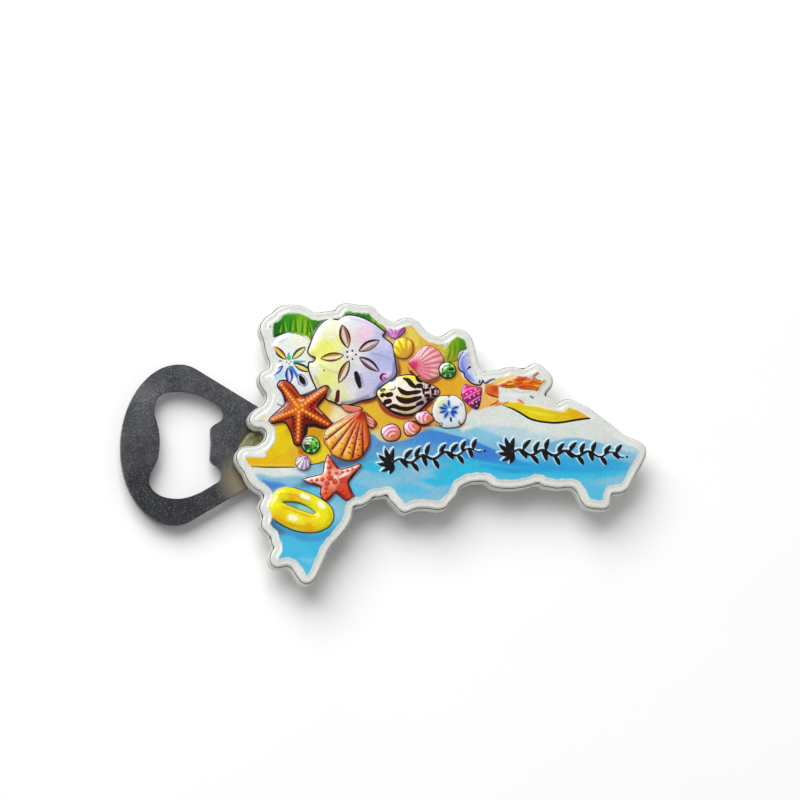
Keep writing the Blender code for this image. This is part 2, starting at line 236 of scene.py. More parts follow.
class Sheet:
    """Grid over the sheet that collects paint, ink and relief, later layers over earlier ones."""

    def __init__(self, xs, ys):
        self.xs, self.ys = xs, ys
        grid = np.meshgrid(xs, ys, indexing="ij")
        self.at = np.stack([grid[0].ravel(), grid[1].ravel()], axis=1)
        count = len(self.at)
        self.paint = np.tile(pigment(FILM_WHITE), (count, 1))
        self.ink = np.full(count, NO_INK)
        self.ink_colour = np.tile(pigment(INK), (count, 1))
        self.rise = np.zeros(count)
        self.coast = self.measure_coast()

    def measure_coast(self):
        """Depth of every grid point inside the sheet's edge, and the nearest edge point."""
        fine = closed_curve(COAST, 3)
        tree = kdtree.KDTree(len(fine))
        for index, (x, y) in enumerate(fine):
            tree.insert((x, y, 0.0), index)
        tree.balance()
        found = [tree.find((x, y, 0.0)) for x, y in self.at]
        self.edge = np.array([[hit[0].x, hit[0].y] for hit in found])
        gone = np.array([hit[2] for hit in found])
        inside = np.zeros((len(self.xs), len(self.ys)), bool)
        for (ax, ay), (bx, by) in zip(fine, np.roll(fine, -1, axis=0)):
            for row in np.flatnonzero((ay > self.ys) != (by > self.ys)):
                cross = ax + (self.ys[row] - ay) * (bx - ax) / (by - ay)
                inside[:, row] ^= self.xs < cross
        return np.where(inside.ravel(), gone, -gone)

    def near(self, points, reach):
        """Indices of the grid points within reach of the points' bounding box."""
        low, high = points.min(0) - reach, points.max(0) + reach
        return np.flatnonzero(np.all((self.at > low) & (self.at < high), axis=1))

    def tint(self, index, colour, cover):
        """Lays a colour over the paint, cover being its opacity at each grid point."""
        cover = cover[:, None]
        self.paint[index] = self.paint[index] * (1 - cover) + colour * cover

    def fill(self, loop, colour, height=None, shoulder=2.0, soft=0.12):
        """Paints the inside of a loop and, given a height, raises it as a rounded mound."""
        loop = np.array(loop, float)
        index = self.near(loop, FILL_REACH + soft)
        depth = loop_depth(self.at[index], loop)
        shade = colour(*self.at[index].T) if callable(colour) else pigment(colour)
        self.tint(index, shade, ease(depth, -soft, soft))
        self.ink[index] = np.minimum(self.ink[index], -depth)
        if height is not None:
            self.light_rim(loop, index[(depth > 0) & (depth < LIT_RIM_WIDTH)])
            self.rise[index[depth > 0]] = height * dome(depth[depth > 0], shoulder)
        return index, depth

    def light_rim(self, loop, index):
        """Brushes a raised loop's rim lighter towards the upper left and darker towards the lower right."""
        for shift, colour in (((0.3, -0.3), LIT_EDGE), ((-0.4, 0.42), SHADED_EDGE)):
            beyond = -loop_depth(self.at[index] - shift, loop)
            self.tint(index, pigment(colour), LIT_RIM_STRENGTH * ease(beyond, -0.1, 0.34))

    def shade(self, loop, shift, colour, strength, soft=0.55):
        """Painted shadow of a loop, cast by shift onto what lies under it."""
        cast = np.array(loop, float) + shift
        index = self.near(cast, soft + 0.2)
        cover = strength * ease(loop_depth(self.at[index], cast), -soft, soft * 0.6)
        self.tint(index, pigment(colour), cover)

    def line(self, points, width, colour=INK, smooth=True, raised=0.0):
        """Inks a stroke. width is one number, or one for each of the points."""
        path = brush_path(points, width, smooth)
        index = self.near(path[:, :2], LINE_REACH)
        depth = stroke_depth(self.at[index], path[:, :2], np.maximum(path[:, 2], THINNEST_LINE) / 2)
        newer = depth > self.ink[index]
        self.ink[index[newer]] = depth[newer]
        near = newer & (depth > -INK_REACH)
        self.ink_colour[index[near]] = pigment(colour)
        if raised:
            self.rise[index] += raised * dome(depth, LINE_SHOULDER)

    def lines(self, *strokes):
        """Inks several strokes, each (points, width) or (points, width, colour)."""
        for stroke in strokes:
            self.line(*stroke)

    def outline(self, loop, width, colour=INK):
        """Inks a closed loop."""
        loop = np.array(loop, float)
        self.line(np.concatenate([loop, loop[:1]]), width, colour, smooth=False)

    def dab(self, points, width, colour, soft=0.15, bump=0.0):
        """Paints a soft stroke or, with one point, a soft dot."""
        widest = np.max(width)
        path = brush_path(points, width)
        index = self.near(path[:, :2], widest + soft + 0.2)
        depth = stroke_depth(self.at[index], path[:, :2], path[:, 2] / 2)
        self.tint(index, pigment(colour), ease(depth, -soft, soft))
        if bump:
            self.rise[index] += bump * dome(depth, widest / 2)

    def dabs(self, strokes, soft=0.15):
        """Paints several strokes, each (points, width, colour)."""
        for points, width, colour in strokes:
            self.dab(points, width, colour, soft)


def mix(stops, weigh):
    """Colour by position: the stops' colours, weighted by weigh(across, up, stop)."""
    def shade(x, y):
        total, weights = 0, 0
        for stop in stops:
            weight = weigh(x - stop[0], y - stop[1], stop)
            total = total + weight[:, None] * pigment(stop[-1])
            weights = weights + weight
        return total / weights[:, None]
    return shade


def blend(*stops):
    """Mixes by nearness: each stop is (x, y, reach, sRGB colour)."""
    return mix(stops, lambda across, up, stop: 1 / ((across**2 + up**2) / stop[2]**2 + 0.05) ** 2)


def along_bands(*stops):
    """Mixes for long bands that run nearly left to right: each stop is (x, y, sRGB colour)."""
    return mix(stops, lambda across, up, stop: 1 / ((0.35 * across) ** 2 + up**2 + 0.4) ** 2)


def frame_of(low_x, low_y, high_x, high_y):
    """Corners of an upright rectangle."""
    return [(low_x, low_y), (high_x, low_y), (high_x, high_y), (low_x, high_y)]


# ---------------------------------------------------------------- scenery: sea, beach and grass

def draw_sea(sheet):
    water = along_bands((-34, -7.6, SURF), (-29, -7.8, (224, 230, 224)), (-33, -9.5, SHALLOW),
        (-31, -11.5, MID_BLUE), (-26, -10.4, SHALLOW), (-21, -11, DUSK_BLUE), (-20, -7.8, SHALLOW),
        (-20, -12.8, BRIGHT_BLUE), (-12, -5.2, DUSK_BLUE), (-8, -8, SHALLOW), (-9, -12, BRIGHT_BLUE),
        (-4, -6.5, CYAN), (-3, 0.2, MID_BLUE), (-4, -11, SHALLOW), (2, -1, MID_BLUE), (5, 0.6, MID_BLUE),
        (10, 0, DEEP_BLUE), (8, -8, SHALLOW), (12, -10, CYAN), (16, -8, CYAN), (20, -6, CYAN),
        (6, -12.5, BRIGHT_BLUE), (14, -14.5, SHALLOW), (4, -15, SHALLOW), (26, -6, CYAN), (33, -6, CYAN),
        (40, -6, CYAN), (49, -6, CYAN), (58, -7, CYAN), (56, -12, BRIGHT_BLUE), (61, -9, SHALLOW),
        (28, -2, DEEP_BLUE), (28, 1, SHALLOW), (22, 2, BRIGHT_BLUE), (33, 4.2, MIST), (40, 2, MIST),
        (46, 4.4, SURF), (52, 5.2, SURF), (57, 4.4, SURF), (64, -1, MIST), (67, -2, SHALLOW),
        (24, 8.3, SURF), (29, 9, SURF), (34, 6.6, SURF), (41, 5, SURF), (-24, -26, (70, 186, 224)),
        (-26, -29, (70, 186, 226)), (-20, -27, (64, 184, 222)), (-22, -33, (76, 188, 226)),
        (-14, -18, SHALLOW), (-17, -24, (70, 186, 222)), (-30, -23, DUSK_BLUE), (17, 12, SURF),
        (30, 13, SURF), (38, 13, SURF))
    sheet.fill(frame_of(-43, -41, 74, 41), water)

    swell = [(12, 5.4), (18.9, 4.9), (25.5, 3.9), (32, 1.4), (37.4, -1.4), (43.9, 1.2), (49.9, 2.5),
        (56.4, 1.4), (61, -0.2), (68, -2.2), (68, -6), (44, -6), (30, -4), (16, -1)]
    sheet.fill(closed_curve(swell), along_bands((16, 4, SHALLOW), (24, 3, (132, 194, 222)),
        (32, 0, (124, 184, 220)), (38, -3, BRIGHT_BLUE), (44, 0, (112, 172, 214)),
        (50, 1.4, (118, 182, 216)), (57, 0, (116, 180, 212)), (64, -2.4, SHALLOW), (50, -4, (50, 162, 216)),
        (40, -5, (52, 160, 216)), (60, -4, (46, 164, 212))), soft=0.3)
    crest = [(-4, -1), (-0.8, 0.9), (3.6, 2.6), (8.4, 3.8), (12, 3.9), (15.7, 3.1), (22.9, 1.2),
        (29.5, -1.5), (34, -3.4), (38.7, -5.4), (30, -5), (20, -3.4), (8, -3.4), (0, -3.4)]
    sheet.fill(closed_curve(crest), along_bands((-1, -0.6, (84, 143, 196)), (6, 2, (72, 140, 212)),
        (12, 2.6, (62, 134, 210)), (20, 0.6, (58, 128, 208)), (28, -2, (56, 124, 206)),
        (10, -2, (92, 156, 210)), (2, -2.6, (110, 170, 206)), (34, -4.4, (46, 146, 214))), soft=0.3)
    sheet.dabs((([(-4, -5), (3, -4.8), (9, -5.6), (16, -5.4)], (0.6, 1.6, 1.9, 0.7), (102, 176, 218)),
        ([(25, -5.4), (34, -6.6), (44, -5.6), (52, -6.2), (60, -5.6)], (0.6, 1.8, 2.0, 1.5, 0.6),
        (44, 158, 216)), ([(0, -9.8), (6, -9.9), (12, -11.9), (17, -11.2)], (0.5, 1.1, 1.2, 0.5), SHALLOW),
        ([(25, -8), (33, -8.3), (41, -8.4), (49, -8.6)], (0.5, 1.4, 1.6, 0.6), (70, 190, 222)),
        ([(-34, -8), (-31, -8.6), (-27, -8.1), (-22.5, -8.8)], (0.8, 1.6, 1.4, 0.4), (224, 228, 220)),
        ([(-33.6, -10.4), (-31.4, -11.8), (-28.4, -11.6)], (0.5, 1.4, 0.6), (70, 130, 204)),
        ([(-27, -24.5), (-23, -25.6), (-18, -25.3), (-14.8, -22.6)], (0.6, 1.4, 1.2, 0.5), (66, 150, 202)),
        ([(-24, -31), (-21.5, -31.6), (-19, -30.5)], (0.5, 1.2, 0.5), (108, 200, 226))), soft=0.7)


def draw_right_beach(sheet):
    sheet.fill([(19, 5), (24, 6), (30, 8.4), (34, 7.6), (38, 6.2), (47, 6.2), (56, 7), (56, 5), (47, 4.7),
        (38, 4.4), (32, 5.6), (26, 6), (20, 3.6)], SURF, soft=0.6)
    under = [(30.8, 10.9), (33.5, 10), (35.8, 8.8), (38.1, 7.45), (40.4, 6.8), (42.8, 6.5), (45.1, 6.4),
        (47.4, 6.65), (49.7, 7.1), (52, 7.5), (54.4, 7.8), (56.1, 7.9)]
    over = [(32.4, 11.6), (33.9, 11.65), (35.6, 11.7), (36.7, 11), (38.6, 10.8), (40.4, 10.6), (42.8, 9.95),
        (44.1, 9.8), (46.5, 9.4), (47.6, 9.4), (48.6, 10.45), (49.7, 10.9), (50.6, 10.7), (51.1, 9.8),
        (52.7, 9.5), (54.4, 8.9), (55.3, 8.25)]
    sheet.dab(over, 0.9, (246, 236, 170), soft=0.3)
    sheet.fill(closed_curve(over + under[::-1]), blend((34, 10.8, 3, (228, 196, 20)),
        (38, 9.2, 3, (222, 204, 16)), (43, 8.2, 4, (222, 200, 14)), (47, 8, 3, (226, 188, 20)),
        (51, 8.4, 3, (224, 172, 14)), (49.4, 10.2, 1, (226, 190, 14))), soft=0.15)
    sheet.line(under, (0.2, 0.44, 0.56, 0.6) + (0.58,) * 6 + (0.5, 0.2))
    sheet.dab([(36.5, 9.8), (41, 8.8), (45, 8.3)], (0.3, 0.6, 0.2), (238, 220, 60), soft=0.3)
    halo = [(29.6, 16.2), (30.2, 18), (32.2, 18.5), (34.2, 19.4), (35.8, 19.6), (37.4, 19.3), (37, 18),
        (34, 16), (34.8, 15.4), (38, 15), (40.2, 14.8), (40, 14.6), (38, 14.8), (34.8, 15.2), (32.2, 15.3)]
    sheet.fill(closed_curve(halo), blend((32, 17.4, 2, (240, 208, 110)), (36, 19, 1.6, (236, 222, 130)),
        (38, 15, 2.6, (236, 208, 160))), soft=0.4)
    land = [(29.8, 16.3), (31.2, 16.9), (32.1, 17.6), (33.5, 17.9), (34.4, 18.6), (35.8, 19), (37.4, 18.9),
        (38.3, 18.2), (39.5, 19.3), (40.4, 20.1), (41.2, 20.5), (41.4, 20), (40.2, 19.1), (39.7, 18.7),
        (40.2, 18), (41.4, 17.8), (42.3, 18.5), (43.4, 18.6), (43.7, 18.2), (42.8, 17.2), (42.3, 16.7),
        (41.4, 15.5), (40.4, 15), (39, 15.3), (38.1, 15.2), (35.8, 15.4), (34.9, 15.8), (32.3, 15.7)]
    sheet.fill(closed_curve(land), blend((31, 16.5, 1.4, (206, 70, 20)), (33.4, 17, 1.6, (228, 130, 16)),
        (36, 18, 1.8, (214, 84, 4)), (38.6, 16.6, 1.8, (228, 118, 4)), (36.4, 16, 1.4, (220, 96, 16)),
        (41.4, 16.8, 1.3, (226, 128, 10)), (43, 18, 0.9, (206, 160, 40)), (40.8, 20, 0.8, (206, 110, 60))),
        height=0.25, shoulder=0.8)
    for points in ([(31, 16.6), (33, 17.1), (35, 16.6), (37, 17.2), (39, 16.8)],
            [(35.5, 15.8), (38, 16.1), (40.4, 15.7)], [(33.8, 18), (35.2, 17.6), (37.2, 18)],
            [(38, 17.5), (39.6, 17.2), (41.2, 16.8)], [(31, 16.1), (34, 16.2)],
            [(38.2, 18.1), (39.3, 19), (40.6, 20)]):
        sheet.dab(points, 0.3, (168, 52, 4), soft=0.15)
    for points in ([(32.4, 16.5), (34, 16.9)], [(36.6, 17.2), (38.4, 17.5)], [(39.6, 16.2), (41.4, 16.2)],
            [(42.3, 17.8), (43.2, 18.2)]):
        sheet.dab(points, 0.3, (240, 186, 60), soft=0.15)
    sheet.lines(([(29.8, 16), (32.3, 15.6), (34.9, 15.7), (36.4, 15.3), (39, 15.2), (40.4, 14.9),
        (41.3, 15.3)], 0.24, (140, 50, 16)),
        ([(39.5, 18.9), (39.9, 18.3), (40.6, 17.8), (41.4, 17.7)], 0.3, (70, 40, 50)))
    sheet.dabs((([(38.5, 13.4), (39.2, 13)], 0.42, (50, 40, 40)),
        ([(41.5, 12.4), (42.4, 12.8)], 0.5, (30, 26, 28)),
        ([(35.2, 12.4), (35.9, 12), (36.7, 11.4)], (0.5, 0.6, 0.3), (222, 104, 60)),
        ([(30.9, 11.2), (32.3, 11.7)], 0.5, (222, 120, 50)),
        ([(30, 13.8), (34, 13.6), (38, 14)], (0.4, 1.2, 0.4), (230, 231, 228)),
        ([(33.4, 15), (35.4, 14.4), (38.4, 14.6)], 0.3, (196, 192, 190))))


def draw_shore(sheet):
    """Yellow beach on the left, and the sand that shows between the shells."""
    sheet.fill(closed_curve([(-43, -3.6), (-38.4, -3.9), (-36, -4.0), (-33.2, -4.1), (-32.9, -3),
        (-31.7, -1.6), (-30.6, 0), (-30.3, 2), (-30.4, 5.2), (-29, 8), (-28, 10), (-28.2, 13), (-28.6, 15),
        (-29.4, 18), (-30, 24), (-29.9, 30.6), (-31.4, 33.6), (-43, 34)]), (228, 229, 230), soft=0.2)
    beach = [(-39.5, -5.4), (-39, -7), (-36, -6.9), (-33, -6.9), (-29, -6.8), (-25, -6.6), (-21, -6),
        (-17, -4.9), (-15, -2), (-14, 2), (-15.5, 5.5), (-20, 6), (-24, 8), (-27.6, 5.8), (-30.1, 5.2),
        (-30.1, 2), (-30.3, 0), (-31.5, -1.5), (-32.7, -3), (-33, -4.2), (-36, -4.3), (-38.4, -4.3)]
    sheet.fill(closed_curve(beach), blend((-36, -5.6, 3, (226, 178, 14)), (-30, -5, 3, (229, 184, 10)),
        (-28.6, -1, 3, (229, 200, 2)), (-25.6, -3, 2, (222, 176, 40)), (-26, 4, 1.5, (200, 140, 20)),
        (-28.8, 4, 2, (228, 202, 10)), (-20, 3, 2, (214, 150, 16)), (-18.4, -3, 2.2, (230, 204, 34)),
        (-23.4, -2.6, 1, (190, 100, 30)), (-27, -6.2, 2.5, (230, 182, 10))), soft=0.2)
    sheet.lines(([(-36.8, -6.8), (-33, -6.85), (-29, -6.8), (-25, -6.7)], (0.2, 0.36, 0.36, 0.3)),
        ([(-21, -6), (-19, -5.6), (-17, -4.9), (-16.6, -4)], 0.3))
    sheet.dab([(-36, -6.2), (-31, -6.3), (-26, -6.1)], (0.2, 0.4, 0.2), (238, 200, 60), soft=0.25)
    sheet.dab([(-34.2, 5.8), (-33, 6.5), (-32.2, 6.4)], (0.3, 0.7, 0.3), (232, 222, 120), soft=0.4)
    sheet.fill(frame_of(-18.5, 5.5, -9, 12.5), blend((-17, 9.5, 2, (226, 182, 50)),
        (-12.5, 9.8, 1.5, CREAM), (-13.5, 7, 1.5, (240, 224, 170)), (-11, 11, 1.5, BROWN)), soft=0.4)
    sheet.fill(closed_curve([(-8, 11.6), (-3.4, 12.2), (2.5, 16.5), (2.5, 24), (-0.4, 29.4), (-0.4, 33.6),
        (6.5, 33.4), (10.4, 31), (10.8, 28.2), (14, 28.2), (16, 26), (19.4, 23.6), (19.6, 20), (21, 17.6),
        (25.4, 16), (25, 12), (22.5, 9.4), (21.2, 7.8), (20.6, 5.4), (19, 4.6), (12.4, 4.8), (9, 3.4),
        (6, 1.6), (0.4, 0.4), (-2.4, 1), (-3.8, 2.4), (-6, 3), (-7, 8)]),
        blend((-5, 8, 2.5, (226, 178, 48)), (1, 6.8, 2, (224, 176, 44)), (6, 7, 2, (222, 170, 50)),
        (-3, 1.4, 1, (206, 208, 160)), (17, 15.4, 2.5, (228, 168, 34)), (13.6, 17.4, 2, (226, 164, 40)),
        (4.4, 20.4, 2, (226, 170, 52)), (2.4, 32.4, 2, (222, 184, 110)), (21.6, 10, 1, (218, 150, 60)),
        (11.6, 10.4, 1, (224, 176, 60)), (10, 4.4, 2, (200, 150, 80)), (9.4, 29, 1.5, (226, 178, 60)),
        (17, 22.4, 2, (214, 174, 46))), soft=0.35)
    for points, width in (([(-8, 11.5), (-5.4, 11.2), (-2.9, 12)], (0.7, 1.1, 0.5)),
            ([(2.6, 17), (3.4, 19.6), (2.8, 23.4)], (0.3, 0.8, 0.3)),
            ([(7.4, 18.6), (9.6, 16.8), (12.2, 16.6), (14.6, 17.9)], (0.3, 0.7, 0.8, 0.3))):
        sheet.dab(points, width, (146, 68, 26), soft=0.35)
    tongue = [(26.4, 16.5), (27.9, 16.7), (30, 18.2), (31.6, 17.9), (29.9, 16.2), (29.9, 13.1), (29.8, 12),
        (30.9, 11.5), (30.7, 10.9), (28.8, 10.5), (27.7, 10.5), (25.8, 10), (24.4, 9.4), (24.8, 12.4),
        (26, 14.4)]
    sheet.fill(closed_curve(tongue), blend((27, 16.4, 1.2, (218, 146, 60)),
        (30, 17.4, 1.2, (238, 204, 110)), (28.4, 12.6, 1.2, (240, 184, 100)),
        (26.2, 11, 1.2, (236, 178, 92)), (29.8, 11.4, 0.8, (222, 140, 60))), soft=0.2)
    sheet.fill(closed_curve([(26.5, 15.4), (27.4, 15.9), (29.4, 16.2), (29.9, 15.7), (30, 13.3), (29.5, 13),
        (26.5, 14.1)]), blend((27, 15, 1, (216, 108, 34)), (29, 15.2, 1, (204, 70, 12)),
        (29.4, 13.6, 0.8, (216, 112, 20))), soft=0.15)
    sheet.lines(([(26.5, 14), (28, 13.4), (29.7, 12.9)], (0.2, 0.44, 0.3), (110, 20, 10)),
        ([(27.5, 10.5), (28.1, 11), (29.1, 11.5), (29.9, 12.2)], (0.2, 0.36, 0.36, 0.2), (166, 66, 18)))


def draw_grass(sheet):
    left = [(-30.4, 31.7), (-29.3, 32.3), (-28.4, 33.2), (-27.6, 34.3), (-25.5, 34.6), (-23, 34.6),
        (-21.2, 34.5), (-20.3, 33.6), (-18.6, 33.1), (-16.4, 33.2), (-17.9, 31.8), (-19.6, 29.5),
        (-20.3, 27.3), (-22.5, 28.4), (-25.5, 29), (-28, 28.7), (-30.3, 28.1)]
    sheet.fill(closed_curve(left), blend((-29.5, 30.5, 2, (16, 100, 14)), (-26, 31.5, 2, (52, 142, 12)),
        (-22.5, 31, 2, (124, 182, 10)), (-19.6, 31.5, 1.5, (50, 134, 20))), height=0.15, shoulder=0.8)
    for x, y, lean, high in ((-29, 29.4, 0.4, 2.6), (-27.4, 29.6, -0.3, 3.6), (-25.8, 29.9, 0.5, 3.8),
            (-24.2, 29.7, -0.2, 3.9), (-22.6, 29.4, 0.4, 4), (-21.2, 29, 0.2, 4.2), (-20.4, 29.6, -0.5, 3)):
        sheet.dab([(x, y), (x + lean * 0.3, y + high * 0.5), (x + lean, y + high)], (0.5, 0.34, 0.1),
            (26, 104, 20), soft=0.12, bump=0.06)
        sheet.dab([(x + 0.6, y), (x + 0.5 + lean, y + high * 0.7)], (0.34, 0.1), (152, 198, 52), soft=0.12)
    sheet.line([(-30.3, 28.1), (-28, 28.8), (-25.5, 29.1), (-22.5, 28.5), (-20.5, 27.4)], 0.28)
    sheet.dab([(-31.2, 30.8)], 0.6, (24, 40, 30))
    top = [(-12.9, 32.6), (-12.6, 33.4), (-11.8, 34.3), (-11.2, 35.1), (-9.5, 35.5), (-7.5, 35.2),
        (-6, 34.8), (-4.5, 35.1), (-3.6, 34.8), (-3, 33.9), (-1.8, 32.8), (-1, 32.1), (-0.4, 30), (-4, 30),
        (-9, 32)]
    sheet.fill(closed_curve(top), blend((-10, 34.6, 2, (70, 150, 30)), (-6, 34.2, 2, (38, 124, 24)),
        (-2.4, 32.4, 2, (110, 176, 40))), height=0.12, shoulder=0.8)
    for x, y, lean in ((-10.6, 34.2, -0.3), (-9, 34.3, 0.2), (-7.4, 34, 0.3), (-5.8, 33.6, -0.2),
            (-4.4, 33.2, 0.3), (-2.8, 32.4, 0.3)):
        sheet.dab([(x, y), (x + lean, y + 1.3)], (0.4, 0.1), (24, 96, 20), soft=0.12)
    patch = [(14.2, 26.3), (15.4, 25.9), (16.4, 27), (17.2, 28.4), (18.5, 29.2), (20, 28.8), (21.4, 27.8),
        (21.9, 26.6), (21.3, 25.7), (19.8, 25.1), (19.2, 24), (19, 22.6), (17.2, 22.2), (16, 22.3),
        (15.2, 23.5), (15, 24.8)]
    sheet.fill(closed_curve(patch), blend((15.4, 25, 1.5, (182, 186, 40)), (18, 27, 1.8, (120, 164, 8)),
        (20.6, 27, 1.5, (66, 140, 12)), (17.4, 23.4, 1.5, (150, 158, 30))), height=0.2, shoulder=0.9)
    for points in ([(16.4, 23), (17, 25), (16.8, 26.6)], [(18, 23.4), (18.4, 25.6), (18.2, 28)],
            [(19.6, 25.8), (19.8, 27.2)], [(20.8, 26.2), (20.6, 27.6)]):
        sheet.dab(points, (0.4,) * (len(points) - 1) + (0.12,), (70, 124, 22), soft=0.12)
    sheet.line([(15.6, 25.6), (16.4, 27), (17.2, 28.4), (18.5, 29.2)], 0.2, (60, 96, 20))


# ---------------------------------------------------------------- sand dollars

def petal(sheet, base, tip, width, bow, rim, shade, inside):
    """One slot-shaped petal: a sunk leaf with brush lines round it and pricks along a pale middle."""
    shape = leaf(base, tip, width, bow)
    index, depth = sheet.fill(shape, rim, soft=0.1)
    sheet.rise[index] -= 0.16 * ease(depth, 0, 0.5)
    half = len(shape) // 2 + 1
    near, far = np.array(base, float), np.array(tip, float)
    sheet.dab([near + (far - near) * 0.12, (near + far) / 2 + (shape[half // 2] - (near + far) / 2) * 0.25,
        near + (far - near) * 0.9], (width * 0.14, width * 0.44, width * 0.1), inside, soft=0.12)
    weights = 0.22 + 0.34 * np.sin(np.linspace(0, math.pi, half))
    sheet.line(shape[:half], weights, shade)
    other = np.concatenate([shape[half - 1:], shape[:1]])
    sheet.line(other, 0.2 + 0.26 * np.sin(np.linspace(0, math.pi, len(other))), shade)
    middle = (shape[:half] + other[::-1][:half]) / 2
    for spot in range(2, half - 2):
        sheet.line([shape[spot] * 0.55 + middle[spot] * 0.45], 0.24, shade)


def draw_small_dollar(sheet):
    disc = closed_curve([(-31.2, 21.5), (-30.9, 25), (-29.4, 27.7), (-26.4, 29.2), (-23.2, 28.8),
        (-20.4, 27.4), (-19.5, 22), (-20.6, 17.5), (-18.9, 14.3), (-21, 13.2), (-23.4, 12.4), (-26, 13),
        (-29.4, 14), (-31, 17)])
    sheet.fill(disc, blend((-27, 26, 2.5, (240, 243, 240)), (-29.6, 22, 2, (226, 232, 230)),
        (-23, 26.6, 2, (244, 244, 222)), (-29, 18, 1.2, (190, 218, 232)), (-30, 15, 1.4, (228, 232, 230)),
        (-24, 17, 2, (232, 234, 234)), (-22, 22, 2, (228, 238, 228))), height=0.36, shoulder=2.6)
    sheet.lines(([(-30.8, 28), (-31.2, 26.4), (-31.1, 24.8)], (0.1, 0.24, 0.1), (40, 44, 60)),
        ([(-31.1, 20.8), (-30.2, 17.8), (-28.4, 15.8)], (0.1, 0.22, 0.1), (52, 70, 110)),
        ([(-26.6, 29.2), (-23.4, 28.8), (-20.6, 27.3)], (0.1, 0.24, 0.14), (40, 50, 40)),
        ([(-21.2, 19.5), (-20.5, 17.5), (-19, 14.4)], 0.3, (40, 40, 60)),
        ([(-19, 14.3), (-21, 13.2), (-23.4, 12.4)], 0.3, (60, 50, 60)))
    for row in (((-27, 22), (-30.2, 25.4), 1.5, 0.04, (236, 150, 24), (40, 40, 40), (246, 214, 90)),
            ((-25.4, 22.1), (-21.8, 25.4), 1.5, 0.06, (226, 166, 60), (20, 90, 80), (238, 234, 150)),
            ((-25, 20.9), (-20.6, 19), 1.5, -0.08, (216, 196, 40), (14, 30, 90), (240, 230, 120)),
            ((-27.9, 20.3), (-31, 17.6), 0.9, 0.06, (60, 120, 214), (14, 46, 150), (160, 200, 236)),
            ((-26.5, 19.8), (-26.2, 15.7), 1.7, 0.05, (90, 110, 200), (14, 26, 130), (214, 218, 246))):
        petal(sheet, *row)
    sheet.dabs((([(-26.3, 22.4), (-26.3, 23.8)], (1.3, 0.3), (70, 180, 140)),
        ([(-24.8, 21.3), (-21.8, 21.6)], (0.9, 0.2), (24, 150, 160)),
        ([(-28.4, 21.6), (-30.6, 21.2)], (0.6, 0.15), (110, 150, 70)),
        ([(-25.6, 19.8), (-24, 17.2), (-23.7, 15.4)], (1.0, 0.8, 0.4), (30, 120, 206)),
        ([(-28.6, 26.6), (-26.6, 27.6)], (0.4, 0.2), (196, 208, 196))))
    for spot in ((-26.3, 20.8), (-26.9, 21.3), (-25.8, 21.4), (-26.1, 20.1)):
        sheet.line([spot], 0.44, (30, 40, 70))
    sheet.fill(oval((-22.8, 16.5), 1.2, 1.8, 32), (206, 212, 236), soft=0.12)
    sheet.outline(oval((-22.8, 16.5), 1.15, 1.75, 32), 0.24, (40, 60, 130))
    sheet.line([(-23.3, 17.4), (-22.8, 16.5), (-22.2, 15.6)], (0.9, 1.5, 0.9), raised=-0.14)


